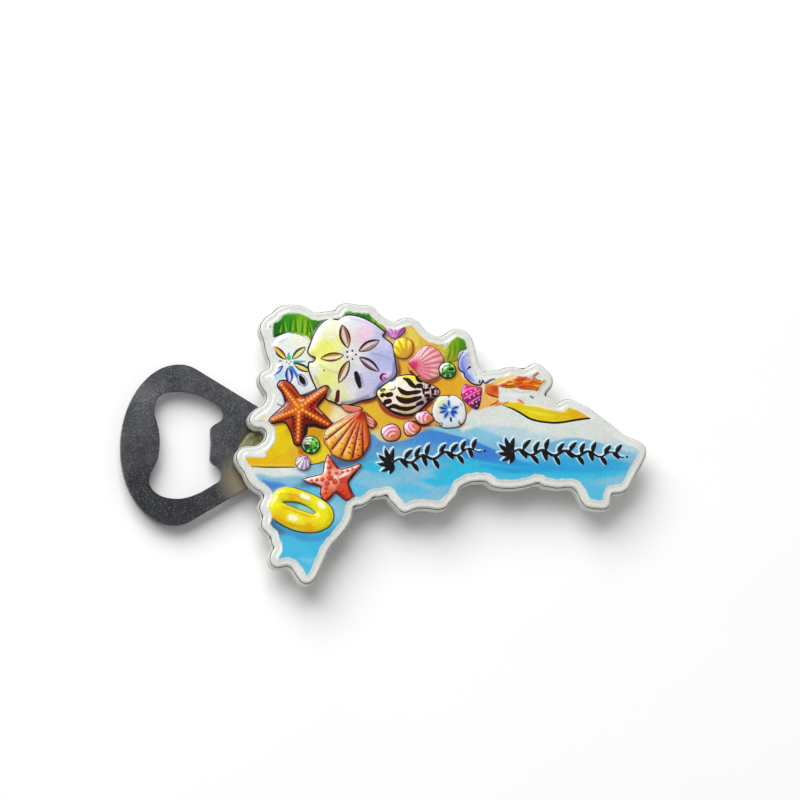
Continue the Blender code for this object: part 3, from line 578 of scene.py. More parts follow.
def draw_big_dollar(sheet):
    disc = closed_curve([(-20.3, 26.8), (-19.3, 29.2), (-18, 31.2), (-16.7, 32.5), (-15, 33.3), (-13, 33),
        (-12, 33.8), (-10.5, 34.3), (-9, 34.3), (-7, 33.9), (-5, 33.1), (-3, 32), (-1.5, 30.8),
        (-0.3, 29.7), (-1, 28.8), (0.5, 27.6), (1.4, 26.8), (1.8, 25.5), (2.1, 23.5), (2.4, 21.5),
        (2.6, 19.6), (2.4, 18.4), (1.2, 17), (-1, 15.7), (-2.6, 14.4), (-3.1, 12.6), (-4.5, 11.9),
        (-7, 11.3), (-9.5, 10.4), (-12.5, 10), (-14.8, 10.9), (-16.2, 11.4), (-17, 12.5), (-18.8, 14),
        (-19.8, 16), (-20.4, 17.5), (-21, 19.2), (-21.1, 20.8), (-20.8, 21.4), (-19.8, 21.6), (-19.2, 22.2),
        (-19.4, 22.8), (-20.3, 23.1), (-21.1, 23.8), (-21.1, 24.8), (-20.6, 26)])
    sheet.shade(disc, (0.5, -0.7), (120, 52, 20), 0.85, 0.7)
    sheet.fill(disc, blend((-16.4, 25, 2.4, (240, 243, 116)), (-16.4, 16.8, 1.9, (232, 236, 136)),
        (-20, 19, 1.2, (230, 232, 220)), (-19.4, 28, 1.6, (244, 246, 236)),
        (-18, 13.4, 1.2, (228, 230, 212)), (-9.6, 13.4, 1.6, (226, 226, 226)),
        (-15, 30.6, 2.6, (246, 248, 214)), (-9, 32.4, 2.4, (234, 232, 240)), (-6, 29.4, 2, (240, 206, 228)),
        (-9.3, 23.5, 2.2, (222, 224, 226)), (-1.6, 27.6, 2.4, (198, 202, 232)),
        (-1, 21, 3, (184, 188, 230)), (-5.4, 16, 2.6, (196, 198, 230)), (-9.4, 19, 2, (218, 216, 230)),
        (-12, 12.4, 2.4, (228, 230, 178)), (0.4, 18.4, 1.6, (226, 206, 232)),
        (-13.4, 21, 2, (240, 242, 170)), (-7.2, 12.8, 1.6, (206, 202, 224)),
        (-12.4, 27.6, 1.6, (242, 242, 140))), height=0.62, shoulder=4.2)
    sheet.outline(disc, 0.44, (34, 22, 26))
    sheet.dabs((([(-19.4, 17.6), (-17.6, 13.8), (-14.6, 11.4)], 0.7, (200, 198, 140)),
        ([(2, 21.6), (1.4, 18.2), (-1.6, 16.2), (-3.6, 13.4)], 0.9, (136, 140, 196)),
        ([(-12.4, 10.7), (-8.8, 11.2), (-5.2, 12.6)], 0.7, (150, 144, 166)),
        ([(-18.6, 28.8), (-16.6, 31.4), (-14, 32)], 0.6, (246, 246, 236)),
        ([(-9.4, 33.4), (-5.4, 32.2), (-2, 29.8)], 0.5, (206, 202, 232)),
        ([(-18, 20.4), (-15.4, 19.2), (-13.6, 18.6)], 0.5, (206, 208, 130)),
        ([(-4, 24), (-1.6, 23.6), (1, 22.6)], 0.5, (160, 166, 212)),
        ([(-13.8, 27), (-14.4, 29)], 0.8, (240, 240, 200))), soft=0.4)
    for row in (((-10.5, 25.3), (-11.9, 31.6), 2.5, 0.03, (150, 92, 52), (60, 26, 20), (226, 206, 190)),
            ((-7.6, 24.5), (-2, 27.6), 2.1, 0.06, (134, 92, 78), (58, 24, 30), (226, 210, 216)),
            ((-7.5, 23), (-2.2, 19.2), 2.0, 0.02, (120, 84, 84), (50, 22, 40), (212, 202, 220)),
            ((-10.2, 22), (-13.1, 15.9), 2.0, -0.04, (168, 112, 58), (64, 30, 16), (226, 214, 190)),
            ((-11.6, 23.4), (-17.8, 22.4), 2.0, 0.05, (196, 146, 66), (88, 44, 16), (240, 230, 186))):
        petal(sheet, *row)
    for spot in ((-10.7, 24.3), (-9.3, 24.6), (-8.4, 23.6), (-9.3, 22.4), (-10.7, 22.9)):
        sheet.line([spot], 0.62, (56, 30, 44))
    sheet.dab([(-9.6, 23.5)], 1.0, (238, 236, 224), bump=0.14)
    sheet.line([(-17, 19.2)], 0.5, (90, 60, 40))
    sheet.dab([(-7.3, 18.2), (-6.6, 15.4)], (0.9, 0.8), (176, 160, 214), soft=0.2)
    sheet.line([(-8.4, 18.6), (-7.9, 16.8), (-7.4, 15)], (1.2, 1.6, 1.1), raised=-0.18)
    sheet.line([(-0.2, 18.5), (-1.3, 18.5), (-1.8, 17.5), (-1.2, 16.7)], (0.2, 0.6, 0.8, 0.3),
        (120, 10, 84))
    sheet.dab([(-0.9, 17.5), (-0.5, 17.3)], 0.7, (206, 60, 160), soft=0.15)
    sheet.line([(-13.3, 13.6), (-13.6, 11.3)], (1.0, 1.3), (92, 16, 22), raised=-0.14)


def draw_blue_dollar(sheet):
    disc = closed_curve([(11.9, 9.2), (12.6, 11.5), (14, 13), (16, 13.2), (18, 13.3), (19.5, 12.4),
        (20.6, 11), (21, 9.2), (21, 7.5), (20.4, 6), (19, 4.8), (16.5, 4.4), (14.5, 4.6), (13.8, 5.6),
        (12.5, 6.5), (12, 8)])
    sheet.fill(disc, blend((13.2, 11.6, 1.4, (226, 230, 170)), (17.6, 12.3, 1.6, (232, 236, 236)),
        (19.8, 8.6, 1.6, (226, 230, 234)), (16.4, 5.6, 1.4, (214, 224, 228)),
        (13.2, 7.6, 1.3, (232, 226, 220)), (16.4, 9.2, 1.2, (150, 192, 232))), height=0.45, shoulder=2.2)
    sheet.outline(disc, 0.3, (20, 40, 60))
    for tip, width in (((16.3, 12), 0.5), ((19.1, 10.2), 0.6), ((18.6, 8.4), 0.9), ((17.9, 7.3), 0.6),
            ((15.1, 7), 0.7), ((13.8, 8.4), 0.6), ((13.7, 9.9), 0.7), ((14.7, 10.9), 0.4)):
        way = np.array(tip) - (16.5, 9.3)
        start = np.array((16.5, 9.3)) + way * 0.22
        sheet.dab([start, start + way * 0.45, np.array(tip)], (0.5, width + 0.5, 0.3), (104, 156, 216),
            soft=0.2)
        sheet.line([start, start + way * 0.4, np.array(tip)], (0.14, width * 0.9, 0.12), (24, 60, 150),
            raised=-0.1)
    sheet.fill(oval((16.5, 9.3), 0.5, 0.4), (214, 230, 240), soft=0.1)
    sheet.line([(16.8, 7.1), (16.9, 6.3)], 0.6, (10, 50, 70), raised=-0.1)
    sheet.line([(16.3, 13.2), (16.4, 12.7), (16.8, 12.9)], 0.24, (20, 40, 60))
    for points in ([(12.8, 5.2), (13.7, 4.9), (14.4, 5), (14.6, 5.7), (14, 5.8)],
            [(18.9, 6.6), (19.5, 5.6), (20.4, 5.8)], [(18.8, 5.9), (19.6, 5.1)], [(19.4, 11), (20, 10.6)]):
        sheet.line(points, 0.26, (34, 60, 66))


# ---------------------------------------------------------------- shells

def scallop(sheet, loop, apex, start, end, count, crest, valley, height, edge=(40, 20, 20), groove=0.45):
    """Fan shell: ribs run from the apex between two angles, in degrees."""
    loop = closed_curve(loop)
    sheet.shade(loop, (0.35, -0.4), (96, 44, 20), 0.6)
    index, depth = sheet.fill(loop, crest, height=height, shoulder=2.2)
    spot = sheet.at[index]
    reach = np.hypot(spot[:, 0] - apex[0], spot[:, 1] - apex[1])
    angle = np.degrees(np.arctan2(spot[:, 1] - apex[1], spot[:, 0] - apex[0])) % 360
    phase = (angle - start) / (end - start) * count
    dip = (0.5 + 0.5 * np.cos(2 * math.pi * phase)) ** 2
    dip = dip * ease(reach, 0.5, 1.3) * ease(depth, -0.05, 0.12)
    sheet.paint[index] += (pigment(valley) - sheet.paint[index]) * (dip * 0.9)[:, None]
    sheet.rise[index] *= 1 - groove * dip
    sheet.outline(loop, 0.26, edge)


def scale_marks(sheet, apex, angles, reaches, width, colour, sweep=5.0):
    """Short arcs across the ribs of a fan shell, at the angles and distances given."""
    for angle in angles:
        for number, reach in enumerate(reaches):
            turn = angle + (1.6 if number % 2 else -1.2)
            arc = [(apex[0] + reach * math.cos(math.radians(turn + step)),
                apex[1] + reach * math.sin(math.radians(turn + step))) for step in (-sweep / 2, 0, sweep / 2)]
            sheet.line(arc, (0.14, width, 0.14), colour)


def draw_orange_scallop(sheet):
    apex = (-6.8, 8.6)
    for ear, tint in (([(-12.4, 10.3), (-11.4, 8.6), (-9, 8.1), (-7.2, 8.6), (-7, 9.6), (-9.6, 10)],
            (230, 120, 92)),
            ([(-6.3, 8.4), (-4.4, 6.9), (-3, 5.3), (-4.4, 3.9), (-5.6, 5.2)], (206, 56, 40))):
        ear_loop = closed_curve(ear)
        sheet.shade(ear_loop, (0.3, -0.4), (90, 30, 10), 0.6)
        sheet.fill(ear_loop, tint, height=0.16, shoulder=1.0)
        sheet.outline(ear_loop, 0.3, (60, 14, 10))
    for y in (5.2, 6, 6.8):
        sheet.dab([(-5.6, y + 0.2), (-4, y - 0.6)], 0.28, (244, 210, 200))
    outline = [(-7.2, 8.7), (-9, 8.2), (-11, 7.2), (-13, 6), (-15, 4.9), (-16.5, 3.4), (-17.3, 1.5),
        (-17.2, 0), (-16.4, -1), (-15.9, -1.9), (-15.2, -3.1), (-14, -3.7), (-13, -4.2), (-11.5, -4.6),
        (-10, -4.7), (-8.5, -4.3), (-7, -3.3), (-5.9, -1.7), (-5.3, -0.6), (-5, 0.8), (-5.1, 2.5),
        (-5.4, 4), (-5.7, 5.5), (-6.2, 7.3)]
    sheet.shade(closed_curve(outline), (0.5, -0.5), (70, 60, 90), 0.6)
    scallop(sheet, outline, apex, 206, 282, 6, blend((-15, 3.6, 2, (244, 212, 130)),
        (-15.5, 0.4, 1.8, (246, 176, 50)), (-12, -2.6, 2, (248, 182, 56)), (-8.4, -2, 2, (240, 140, 30)),
        (-6, 1.6, 1.6, (226, 98, 8)), (-9, 4, 2, (226, 104, 22)), (-7.2, 7.6, 1.2, (196, 30, 14)),
        (-12, 4.4, 1.6, (246, 190, 90))), (186, 62, 4), 0.66, (50, 14, 6), 0.42)
    for step in range(1, 6):
        angle = math.radians(206 + 76 / 6 * step)
        way = np.array([math.cos(angle), math.sin(angle)])
        reach = 10.2 + (2.4, 2.9, 3, 2.6, 1.6)[step - 1]
        sheet.line([np.array(apex) + way * 2.4, np.array(apex) + way * 6.5, np.array(apex) + way * reach],
            (0.08, 0.34, 0.5), (96, 22, 4), smooth=False)
    scale_marks(sheet, apex, (212, 225, 238), (6.4, 8.6, 10.6, 12), 0.26, (110, 40, 6), 5)
    scale_marks(sheet, apex, (250, 262), (5, 6.4, 7.8, 9.2, 10.6, 12), 0.36, (70, 22, 6), 5.4)
    scale_marks(sheet, apex, (268,), (6, 8, 10, 12), 0.26, (120, 36, 6), 4)
    sheet.dab([(-7.5, 7.8), (-8.2, 6.6)], (1.4, 0.5), (190, 18, 12), soft=0.4)
    sheet.dab([(-16.4, 1.6), (-15.9, -0.4)], 0.3, (255, 232, 160))


def draw_small_scallops(sheet):
    scallop(sheet, [(-24.9, -5), (-24.7, -6.4), (-24, -7.2), (-22.8, -7.6), (-21.6, -7.1), (-21, -6.2),
        (-21, -5), (-21.6, -4), (-22.2, -3.5), (-23.3, -3.8), (-24.4, -4.2)], (-22.2, -3.3), 196, 310, 6,
        blend((-24, -5.4, 1, (246, 240, 246)), (-22, -6.6, 1, (226, 206, 234)),
        (-22.2, -3.9, 0.5, (190, 110, 180))), (96, 30, 120), 0.4, (44, 16, 60), 0.4)
    scallop(sheet, [(0.2, 31.2), (-0.2, 30.2), (0.6, 29), (1.8, 28.3), (2.6, 28.2), (3.6, 28.9),
        (4.6, 29.8), (5, 30.6), (4.8, 31.4), (2.6, 31.9)], (2.1, 28.2), 20, 165, 5,
        blend((1, 30.4, 1, (232, 160, 222)), (3.8, 30.6, 1, (216, 120, 206))), (116, 10, 120), 0.35,
        (86, 16, 84), 0.4)
    sheet.dab([(6.4, 30.4), (7.2, 28.6), (7.8, 26.8)], (1.6, 2.6, 1.6), (228, 206, 84), soft=0.6)
    scallop(sheet, [(2, 24.4), (1.8, 26.4), (2.6, 28), (4, 28.6), (5.5, 28.4), (6.8, 27.5), (7.1, 25.5),
        (6.3, 23.6), (4.8, 22.8), (3, 23.1)], (5.2, 22.6), 66, 176, 5,
        blend((3.4, 27.4, 1.2, (248, 240, 40)), (2.6, 25, 1, (232, 214, 20)),
        (5.8, 27.4, 1.1, (240, 214, 70)), (5, 24, 1.2, (222, 170, 70))), (206, 146, 16), 0.5, (96, 62, 6),
        0.35)
    sheet.lines(([(5.6, 28.4), (6.9, 27.5), (7.2, 25.5), (6.4, 23.5), (5, 22.7)], (0.2, 0.5, 0.6, 0.5, 0.2),
        (176, 84, 20)), ([(2, 23.9), (3.5, 23), (5.5, 22.8)], 0.24, (120, 70, 30)))
    scallop(sheet, [(5.8, 22), (6.3, 22.8), (7.5, 23.8), (8.5, 25.2), (9.3, 26), (10.4, 26.5), (11.5, 26.5),
        (12.8, 26), (14, 25), (14.8, 24.1), (15.2, 23.1), (15.2, 22), (14.3, 21), (14.1, 19.7),
        (14.2, 18.7), (13.6, 18), (12, 17.3), (10.8, 17), (9.8, 17.4), (8.8, 18.3), (7.8, 19.5),
        (6.8, 20.5), (6, 21.4)], (6.4, 20.4), -36, 72, 9, blend((12.6, 23.6, 2, (246, 172, 178)),
        (10, 20.4, 2, (240, 138, 156)), (7.2, 21, 1.2, (226, 20, 112)), (13, 19.4, 1.5, (246, 186, 184)),
        (9.6, 24.6, 1.4, (248, 206, 204))), (196, 92, 104), 0.6, (120, 36, 50), 0.4)
    scale_marks(sheet, (6.4, 20.4), (-24, -6, 12, 30, 48), (5.2, 6.8, 8.2), 0.2, (196, 96, 108), 7)
    sheet.dab([(6.4, 19.4), (7.4, 18.6)], (0.9, 0.5), (120, 14, 50))
    sheet.line([(5.6, 20.6), (6.2, 19.2), (7.6, 18.4), (8.8, 18.2)], 0.26, (84, 10, 34))


def draw_round_shells(sheet):
    first = [(-1.9, 3), (-1.5, 4.2), (-0.3, 5), (1.3, 5.3), (2.6, 4.7), (3.3, 3.4), (3.2, 1.9), (2.2, 0.9),
        (0.6, 0.6), (-0.7, 0.9), (-1.5, 1.8)]
    second = [(4.2, 4.2), (4.4, 5.4), (5.5, 6.2), (6.8, 5.9), (8, 5.2), (8.8, 4.4), (8, 3.1), (6.8, 2.3),
        (5.4, 2.1), (4.5, 2.8)]
    third = [(7.2, 7.2), (7.8, 8.3), (9, 8.8), (10.2, 9.1), (11, 8.6), (11.9, 7.6), (12.4, 6.8), (11.8, 6),
        (10.6, 5.4), (9, 5.3), (7.9, 6)]
    sheet.dab([(6.6, 6.2), (8, 5.6), (9.4, 5), (11.4, 5.2)], (0.5, 1.2, 0.9, 0.4), (96, 34, 50), soft=0.2)
    for loop, eye, size in ((first, (1.4, 1.4), 1.0), (second, (7.2, 5), 0.95), (third, (11.2, 6.8), 1.0)):
        centre = np.array(loop).mean(0)
        cx, cy = centre
        outline = closed_curve(loop)
        sheet.fill(outline, blend((cx - 1.6, cy + 0.4, 0.8, (250, 216, 224)),
            (cx - 0.3, cy + 1.3, 0.8, (238, 150, 206)), (cx + 0.2, cy, 0.8, (244, 156, 160)),
            (*eye, 0.8, (230, 124, 60)), (cx - 0.6, cy - 1.4, 0.8, (238, 160, 110)),
            (cx + 1.4, cy - 0.2, 0.7, (226, 120, 84))), height=0.5, shoulder=1.7)
        toward = math.atan2(cy - eye[1], cx - eye[0])
        for reach, colour in ((0.8, (196, 60, 60)), (1.35, (252, 214, 220)), (1.9, (206, 50, 130)),
                (2.4, (252, 226, 232)), (2.9, (204, 70, 150)), (3.4, (250, 226, 230))):
            arc = [np.array(eye) + reach * size * np.array([math.cos(toward + turn),
                math.sin(toward + turn)]) for turn in (-0.75, -0.4, 0, 0.4, 0.75)]
            inside = loop_depth(np.array(arc), outline)
            arc = [point for point, depth in zip(arc, inside) if depth > 0.3]
            if len(arc) > 1:
                sheet.dab(arc, 0.26, colour, soft=0.1, bump=0.03)
        sheet.outline(outline, 0.36, (70, 14, 30))


def draw_whelk(sheet):
    body = closed_curve([(2.2, 17.8), (4, 18.4), (6, 18.6), (7.6, 18.3), (8.5, 17.4), (9.8, 16.7),
        (11, 16.2), (12.5, 15.8), (13.8, 14.8), (14.1, 13.8), (13.2, 12.9), (12, 12.1), (10.5, 11),
        (8.8, 9.2), (7, 8.2), (5, 7.8), (3, 8.2), (1, 8.9), (-0.6, 10), (-1.8, 11.3), (-2.9, 13),
        (-2.8, 14), (-1.6, 15.1), (-0.2, 16.2)])
    sheet.dab([(-2.8, 12), (-0.8, 9.2), (2, 7.7), (5, 7.2), (8, 8.2), (10.6, 10.2), (13, 12)],
        (0.6, 1.5, 1.7, 1.6, 1.5, 1.3, 0.5), (150, 62, 34), soft=0.3)
    sheet.fill(body, blend((-1.6, 14.6, 1.2, (232, 226, 110)), (2.4, 16.4, 1.6, (246, 242, 214)),
        (5.6, 17.7, 1.3, (240, 228, 60)), (4.6, 15.4, 1.2, (250, 244, 230)),
        (1.4, 11.8, 1.6, (244, 232, 216)), (4.6, 12.7, 0.9, (226, 204, 110)),
        (5, 10.4, 0.8, (228, 196, 150)), (9.2, 13.6, 1, (240, 216, 222)), (12.2, 14, 1.4, (206, 176, 176)),
        (4, 8.6, 0.8, (214, 190, 130)), (9.4, 11.4, 1, (196, 160, 160)), (11.2, 12, 0.8, (96, 40, 40))),
        height=0.7, shoulder=3.6)
    dark = (36, 12, 8)
    for points, width in (([(4.3, 17.5), (5.5, 17), (6.4, 15.9), (7.4, 15.2)], (0.5, 1.3, 1.45, 0.9)),
            ([(2.9, 14.8), (3.9, 13.9), (5.1, 13.5), (6.3, 13.6), (7.6, 13.8), (8.6, 14)],
            (0.7, 1.35, 1.3, 1.15, 1.2, 0.8)),
            ([(2.4, 12.4), (3.4, 11.7), (4.8, 11.4), (6.2, 11.6), (7.4, 12), (8.8, 12.5)],
            (0.8, 1.5, 1.65, 1.5, 1.35, 0.8)),
            ([(0.2, 9.7), (1.6, 10), (3.2, 9.5), (5, 9.3), (6.6, 9.7), (7.9, 10.3)],
            (0.7, 1.25, 1.15, 1.2, 0.9, 0.4)), ([(8, 10.6), (9.2, 11.1)], (1.0, 1.15)),
            ([(8.2, 15.5), (8.9, 15.6)], 1.35), ([(0.9, 16.6), (1.6, 17.1), (2.3, 17.7)], (0.3, 0.8, 0.4)),
            ([(0.7, 14.3), (1.7, 14.5), (2.1, 15.1)], 0.3), ([(-1.6, 14.2), (-1, 14.4)], 1.0),
            ([(-1.5, 12.8), (-1.2, 13)], 1.15), ([(-0.1, 12.9), (0.8, 13.1)], 1.35),
            ([(-0.5, 11.1), (0.4, 11.3)], 1.4), ([(9.9, 16.1), (9.8, 14.2), (9.9, 12.3)], (0.2, 0.3, 0.25)),
            ([(11.1, 15.5), (11.4, 15.5)], 0.75), ([(10.3, 14.4), (10.9, 14.6)], 0.9),
            ([(10.4, 13), (10.9, 13)], 1.0), ([(12.2, 14.6), (12.2, 13.8)], 0.75),
            ([(12.1, 13), (12.8, 13)], 0.6), ([(12.6, 15), (12.9, 14.8)], 0.5),
            ([(13.3, 14.8), (13.2, 13.6)], 0.35), ([(9.3, 15), (9.6, 13.4)], 0.5),
            ([(11.7, 15), (11.9, 12.6)], 0.3), ([(10.6, 12), (11.6, 11.9)], 0.8),
            ([(7.8, 17.9), (8.4, 17.2), (9.2, 16.7)], (0.7, 1.2, 0.6))):
        sheet.line(points, width, dark, raised=-0.05)
    sheet.outline(body, 0.38, (26, 14, 12))
    sheet.line([(-0.6, 9.9), (0.9, 8.7), (2.8, 7.9), (5.2, 7.6), (7.4, 8.1), (9.4, 9.7), (11.6, 11.6),
        (13.2, 12.8)], (0.3, 0.5, 0.6, 0.6, 0.7, 0.6, 0.6, 0.2), (44, 12, 8))


def draw_snails(sheet):
    for centre, radius, eye, lean in (((-20.8, -0.7), 2.45, (-21.8, -0.95), 170),
            ((16.2, 20), 2.3, (17, 20.1), 20)):
        shell = oval(centre, radius, radius * 0.96)
        cx, cy = centre
        sheet.shade(shell, (0.4, -0.5), (60, 40, 10), 0.6)
        sheet.fill(shell, blend((cx - 1.2, cy + 1.4, 1, (240, 252, 214)),
            (cx + 1.2, cy + 0.8, 1, (120, 214, 80)), (cx - 0.4, cy - 1.4, 1, (34, 130, 40)),
            (cx + 1.2, cy - 0.8, 1, (66, 172, 52))), height=0.55, shoulder=1.8)
        turns = np.linspace(0, 1.9 * 2 * math.pi, 36)
        reach = 0.5 + (radius * 0.84 - 0.5) * turns / turns[-1]
        spiral = [(eye[0] + (cx - eye[0]) * t / turns[-1] + r * math.cos(t + math.radians(lean)),
            eye[1] + (cy - eye[1]) * t / turns[-1] + r * 0.8 * math.sin(t + math.radians(lean))) for t,
            r in zip(turns, reach)]
        sheet.line(spiral, 0.26, (8, 52, 18), raised=-0.08)
        sheet.line([(eye[0] - 0.4, eye[1]), (eye[0] + 0.4, eye[1])], 0.55, (8, 24, 10))
        for step in range(7):
            angle = step * math.pi / 3.5 + 0.3
            near = np.array([math.cos(angle), math.sin(angle)])
            sheet.line([np.array(centre) + near * radius * 0.5, np.array(centre) + near * radius * 0.78],
                0.26, (10, 70, 22))
            turned = np.array([math.cos(angle + 0.4), math.sin(angle + 0.4)])
            sheet.dab([np.array(centre) + turned * radius * 0.6, np.array(centre) + turned * radius * 0.84],
                0.3, (220, 248, 190))
        sheet.outline(shell, 0.38, (8, 34, 16))


def draw_right_shells(sheet):
    """The pale broken sand dollar and the magenta cone at the right end of the pile."""
    pale = [(20.6, 25), (19.8, 24), (19.3, 22.5), (19.2, 21), (19.6, 20), (20.6, 19.4), (20.9, 18.4),
        (21.6, 17.6), (22.6, 16.7), (23.8, 16.2), (25, 16.2), (25.6, 17), (25.7, 17.5), (26.2, 16.7),
        (27, 16.9), (28, 17.6), (29.4, 18.1), (28.6, 20.6), (26, 21.6), (24.4, 23.2), (22.8, 25.2)]
    sheet.fill(closed_curve(pale), blend((20.4, 22.4, 1.6, (150, 166, 220)),
        (22.4, 23.4, 1.6, (196, 196, 232)), (24.6, 19.6, 2, (228, 230, 236)),
        (22, 18.6, 1.4, (176, 190, 226)), (27.4, 18.6, 1.6, (224, 220, 214))), height=0.4, shoulder=1.6)
    sheet.lines((pale[:12], 0.42, (36, 28, 84)), (pale[11:17], 0.34, (60, 40, 76)))
    sheet.dab([(20.3, 23.6), (20, 21.6), (20.9, 19.9), (21.8, 18.4), (23, 17.3)], (0.5, 0.8, 0.9, 0.8, 0.4),
        (110, 126, 206), soft=0.3)
    sheet.line([(21.5, 20.2), (22.1, 20.8), (22.7, 21)], (0.3, 0.6, 0.3), (40, 34, 84), raised=-0.1)
    sheet.line([(24.8, 17.5), (24.8, 16.9)], (0.3, 0.55), (54, 40, 84))
    for points in ([(20.6, 23.6), (21.6, 24.2)], [(23.6, 21.6), (25.2, 20.6)], [(23.8, 18.8), (25, 19)]):
        sheet.dab(points, 0.3, (120, 136, 204))
    cone = closed_curve([(20.7, 16.3), (22.5, 15.9), (24.5, 15.5), (25.3, 15.3), (25.2, 13.5), (24.9, 11.5),
        (24.4, 10), (23.8, 9.6), (22.8, 10), (21.6, 10.9), (20.4, 12.1), (19.9, 13.2), (19.8, 14.2),
        (20.2, 15.4)])
    sheet.fill(cone, blend((22.4, 15.2, 1.4, (222, 0, 132)), (20.8, 14, 1.2, (206, 10, 130)),
        (23.6, 12, 1.4, (116, 12, 84)), (24.2, 10.4, 1, (90, 10, 80)), (21.6, 11.8, 1.2, (150, 20, 110)),
        (24.6, 14.2, 1, (176, 10, 100))), height=0.5, shoulder=1.8)
    sheet.outline(cone, 0.28, (70, 6, 50))
    for points in ([(20.6, 12.4), (22.6, 13.6), (25, 14.9)], [(20.1, 14), (21.8, 15), (24.4, 15.6)],
            [(21.8, 11), (23.4, 12.2), (25, 13.1)]):
        sheet.dab(points, 0.34, (244, 130, 190), soft=0.12)
    for spot in ((22, 12.6), (23.2, 13.2), (24.4, 13.8), (22.8, 11.2), (23.8, 11.6), (24.6, 12.2),
            (23.9, 10.5), (21.2, 13.6), (22.3, 14.3), (23.6, 14.9)):
        sheet.dab([spot], 0.36, (250, 214, 232), soft=0.1)


# ---------------------------------------------------------------- starfish and swim ring

def draw_orange_star(sheet):
    star = closed_curve([(-29.4, 15.3), (-28.7, 16.2), (-27.2, 16.3), (-25.5, 15.2), (-24.3, 13.6),
        (-23.2, 12.3), (-21, 12.8), (-19, 13.9), (-17.4, 14.9), (-16.3, 15.1), (-15.7, 14.5), (-16.1, 13.4),
        (-17.2, 11.9), (-18.9, 9.7), (-17.5, 8), (-16, 6.4), (-15, 5.2), (-14.9, 4.4), (-15.7, 3.9),
        (-17.5, 4.1), (-19.5, 4.7), (-22, 4.5), (-22.4, 2.5), (-22.9, 0.8), (-23.4, -0.6), (-24.4, -1),
        (-25.2, -0.4), (-25.6, 1), (-26.2, 3), (-27.5, 5.1), (-29.5, 5.1), (-31.2, 4.8), (-31.8, 5.2),
        (-31.6, 6.2), (-30.2, 7.6), (-27.6, 10.1), (-27.6, 11.5), (-28, 13), (-29.3, 14.6)])
    middle = np.array((-23.9, 9.0))
    tips = ((-28.7, 15.4), (-16.5, 14.5), (-15.7, 4.6), (-24.3, -0.3), (-31.2, 5.6))
    sheet.shade(star, (0.55, -0.6), (84, 30, 8), 0.75)
    sheet.fill(star, blend((-26.8, 13.4, 1.8, (190, 66, 14)), (-19, 13, 1.8, (200, 76, 18)),
        (-24.2, 2.6, 1.8, (150, 34, 8)), (-29, 7, 1.8, (196, 72, 20)), (-24, 9.6, 1.6, (216, 96, 20)),
        (-21.4, 6.6, 1.8, (124, 10, 6)), (-17.6, 6.2, 1.6, (170, 44, 12)), (-20.8, 9.9, 1.0, (206, 24, 8))),
        height=0.68, shoulder=2.1)
    for tip in tips:
        way = np.array(tip) - middle
        side = np.array([-way[1], way[0]]) / np.linalg.norm(way)
        for edge in (side, -side):
            dark = (110, 14, 2) if edge[1] > 0.2 else (84, 6, 4)
            sheet.dab([middle + way * 0.3 + edge * 1.35, middle + way * 0.62 + edge * 1.05,
                middle + way * 0.9 + edge * 0.65], (0.81, 0.7, 0.3), dark, soft=0.35)
        sheet.dab([middle + way * 0.1, middle + way * 0.55, middle + way * 0.94], (1.0, 1.1, 0.7),
            (212, 92, 18), soft=0.3)
        for offset, size, colour in ((0.0, 0.74, (252, 172, 66)), (0.95, 0.4, (206, 92, 32)),
                (-0.95, 0.4, (206, 92, 32))):
            for step in range(8):
                share = 0.12 + 0.115 * step + (0.05 if offset else 0)
                if share < 0.95:
                    narrow = (1 - 0.5 * share) * offset * 1.3
                    sheet.dab([middle + way * share + side * narrow], size * (1.1 - 0.35 * share), colour,
                        soft=0.1, bump=0.1)
    for spot in ((-24.6, 10), (-23.4, 9.9), (-24.8, 8.6), (-23.2, 8.4), (-24, 9.2)):
        sheet.dab([spot], 0.6, (244, 160, 50), soft=0.12, bump=0.08)
    sheet.dabs((([(-24.2, 11.4), (-23.3, 10.9), (-22.4, 11.4)], (0.2, 0.5, 0.2), (244, 196, 150)),
        ([(-29.6, 8.1), (-28.4, 8.9)], 0.4, (246, 200, 186))), soft=0.2)
    sheet.dab([(-19.2, 9), (-17.6, 7.6)], 0.24, (240, 176, 160), soft=0.12)
    sheet.outline(star, 0.42, (34, 6, 6))
    sheet.lines(([(-29.5, 10.2), (-28.9, 9.8), (-28.2, 9.5)], 0.3),
        ([(-21.7, 4.3), (-21.9, 2.6), (-22.5, 1)], (0.6, 0.7, 0.2), (50, 8, 6)),
        ([(-15, 4), (-17.5, 3.8), (-19.5, 4.3), (-21.6, 4.2)], (0.2, 0.6, 0.6, 0.5), (50, 10, 6)),
        ([(-18.9, 9.6), (-17.2, 11.6), (-16.1, 13.2)], (0.5, 0.5, 0.2), (60, 8, 6)))


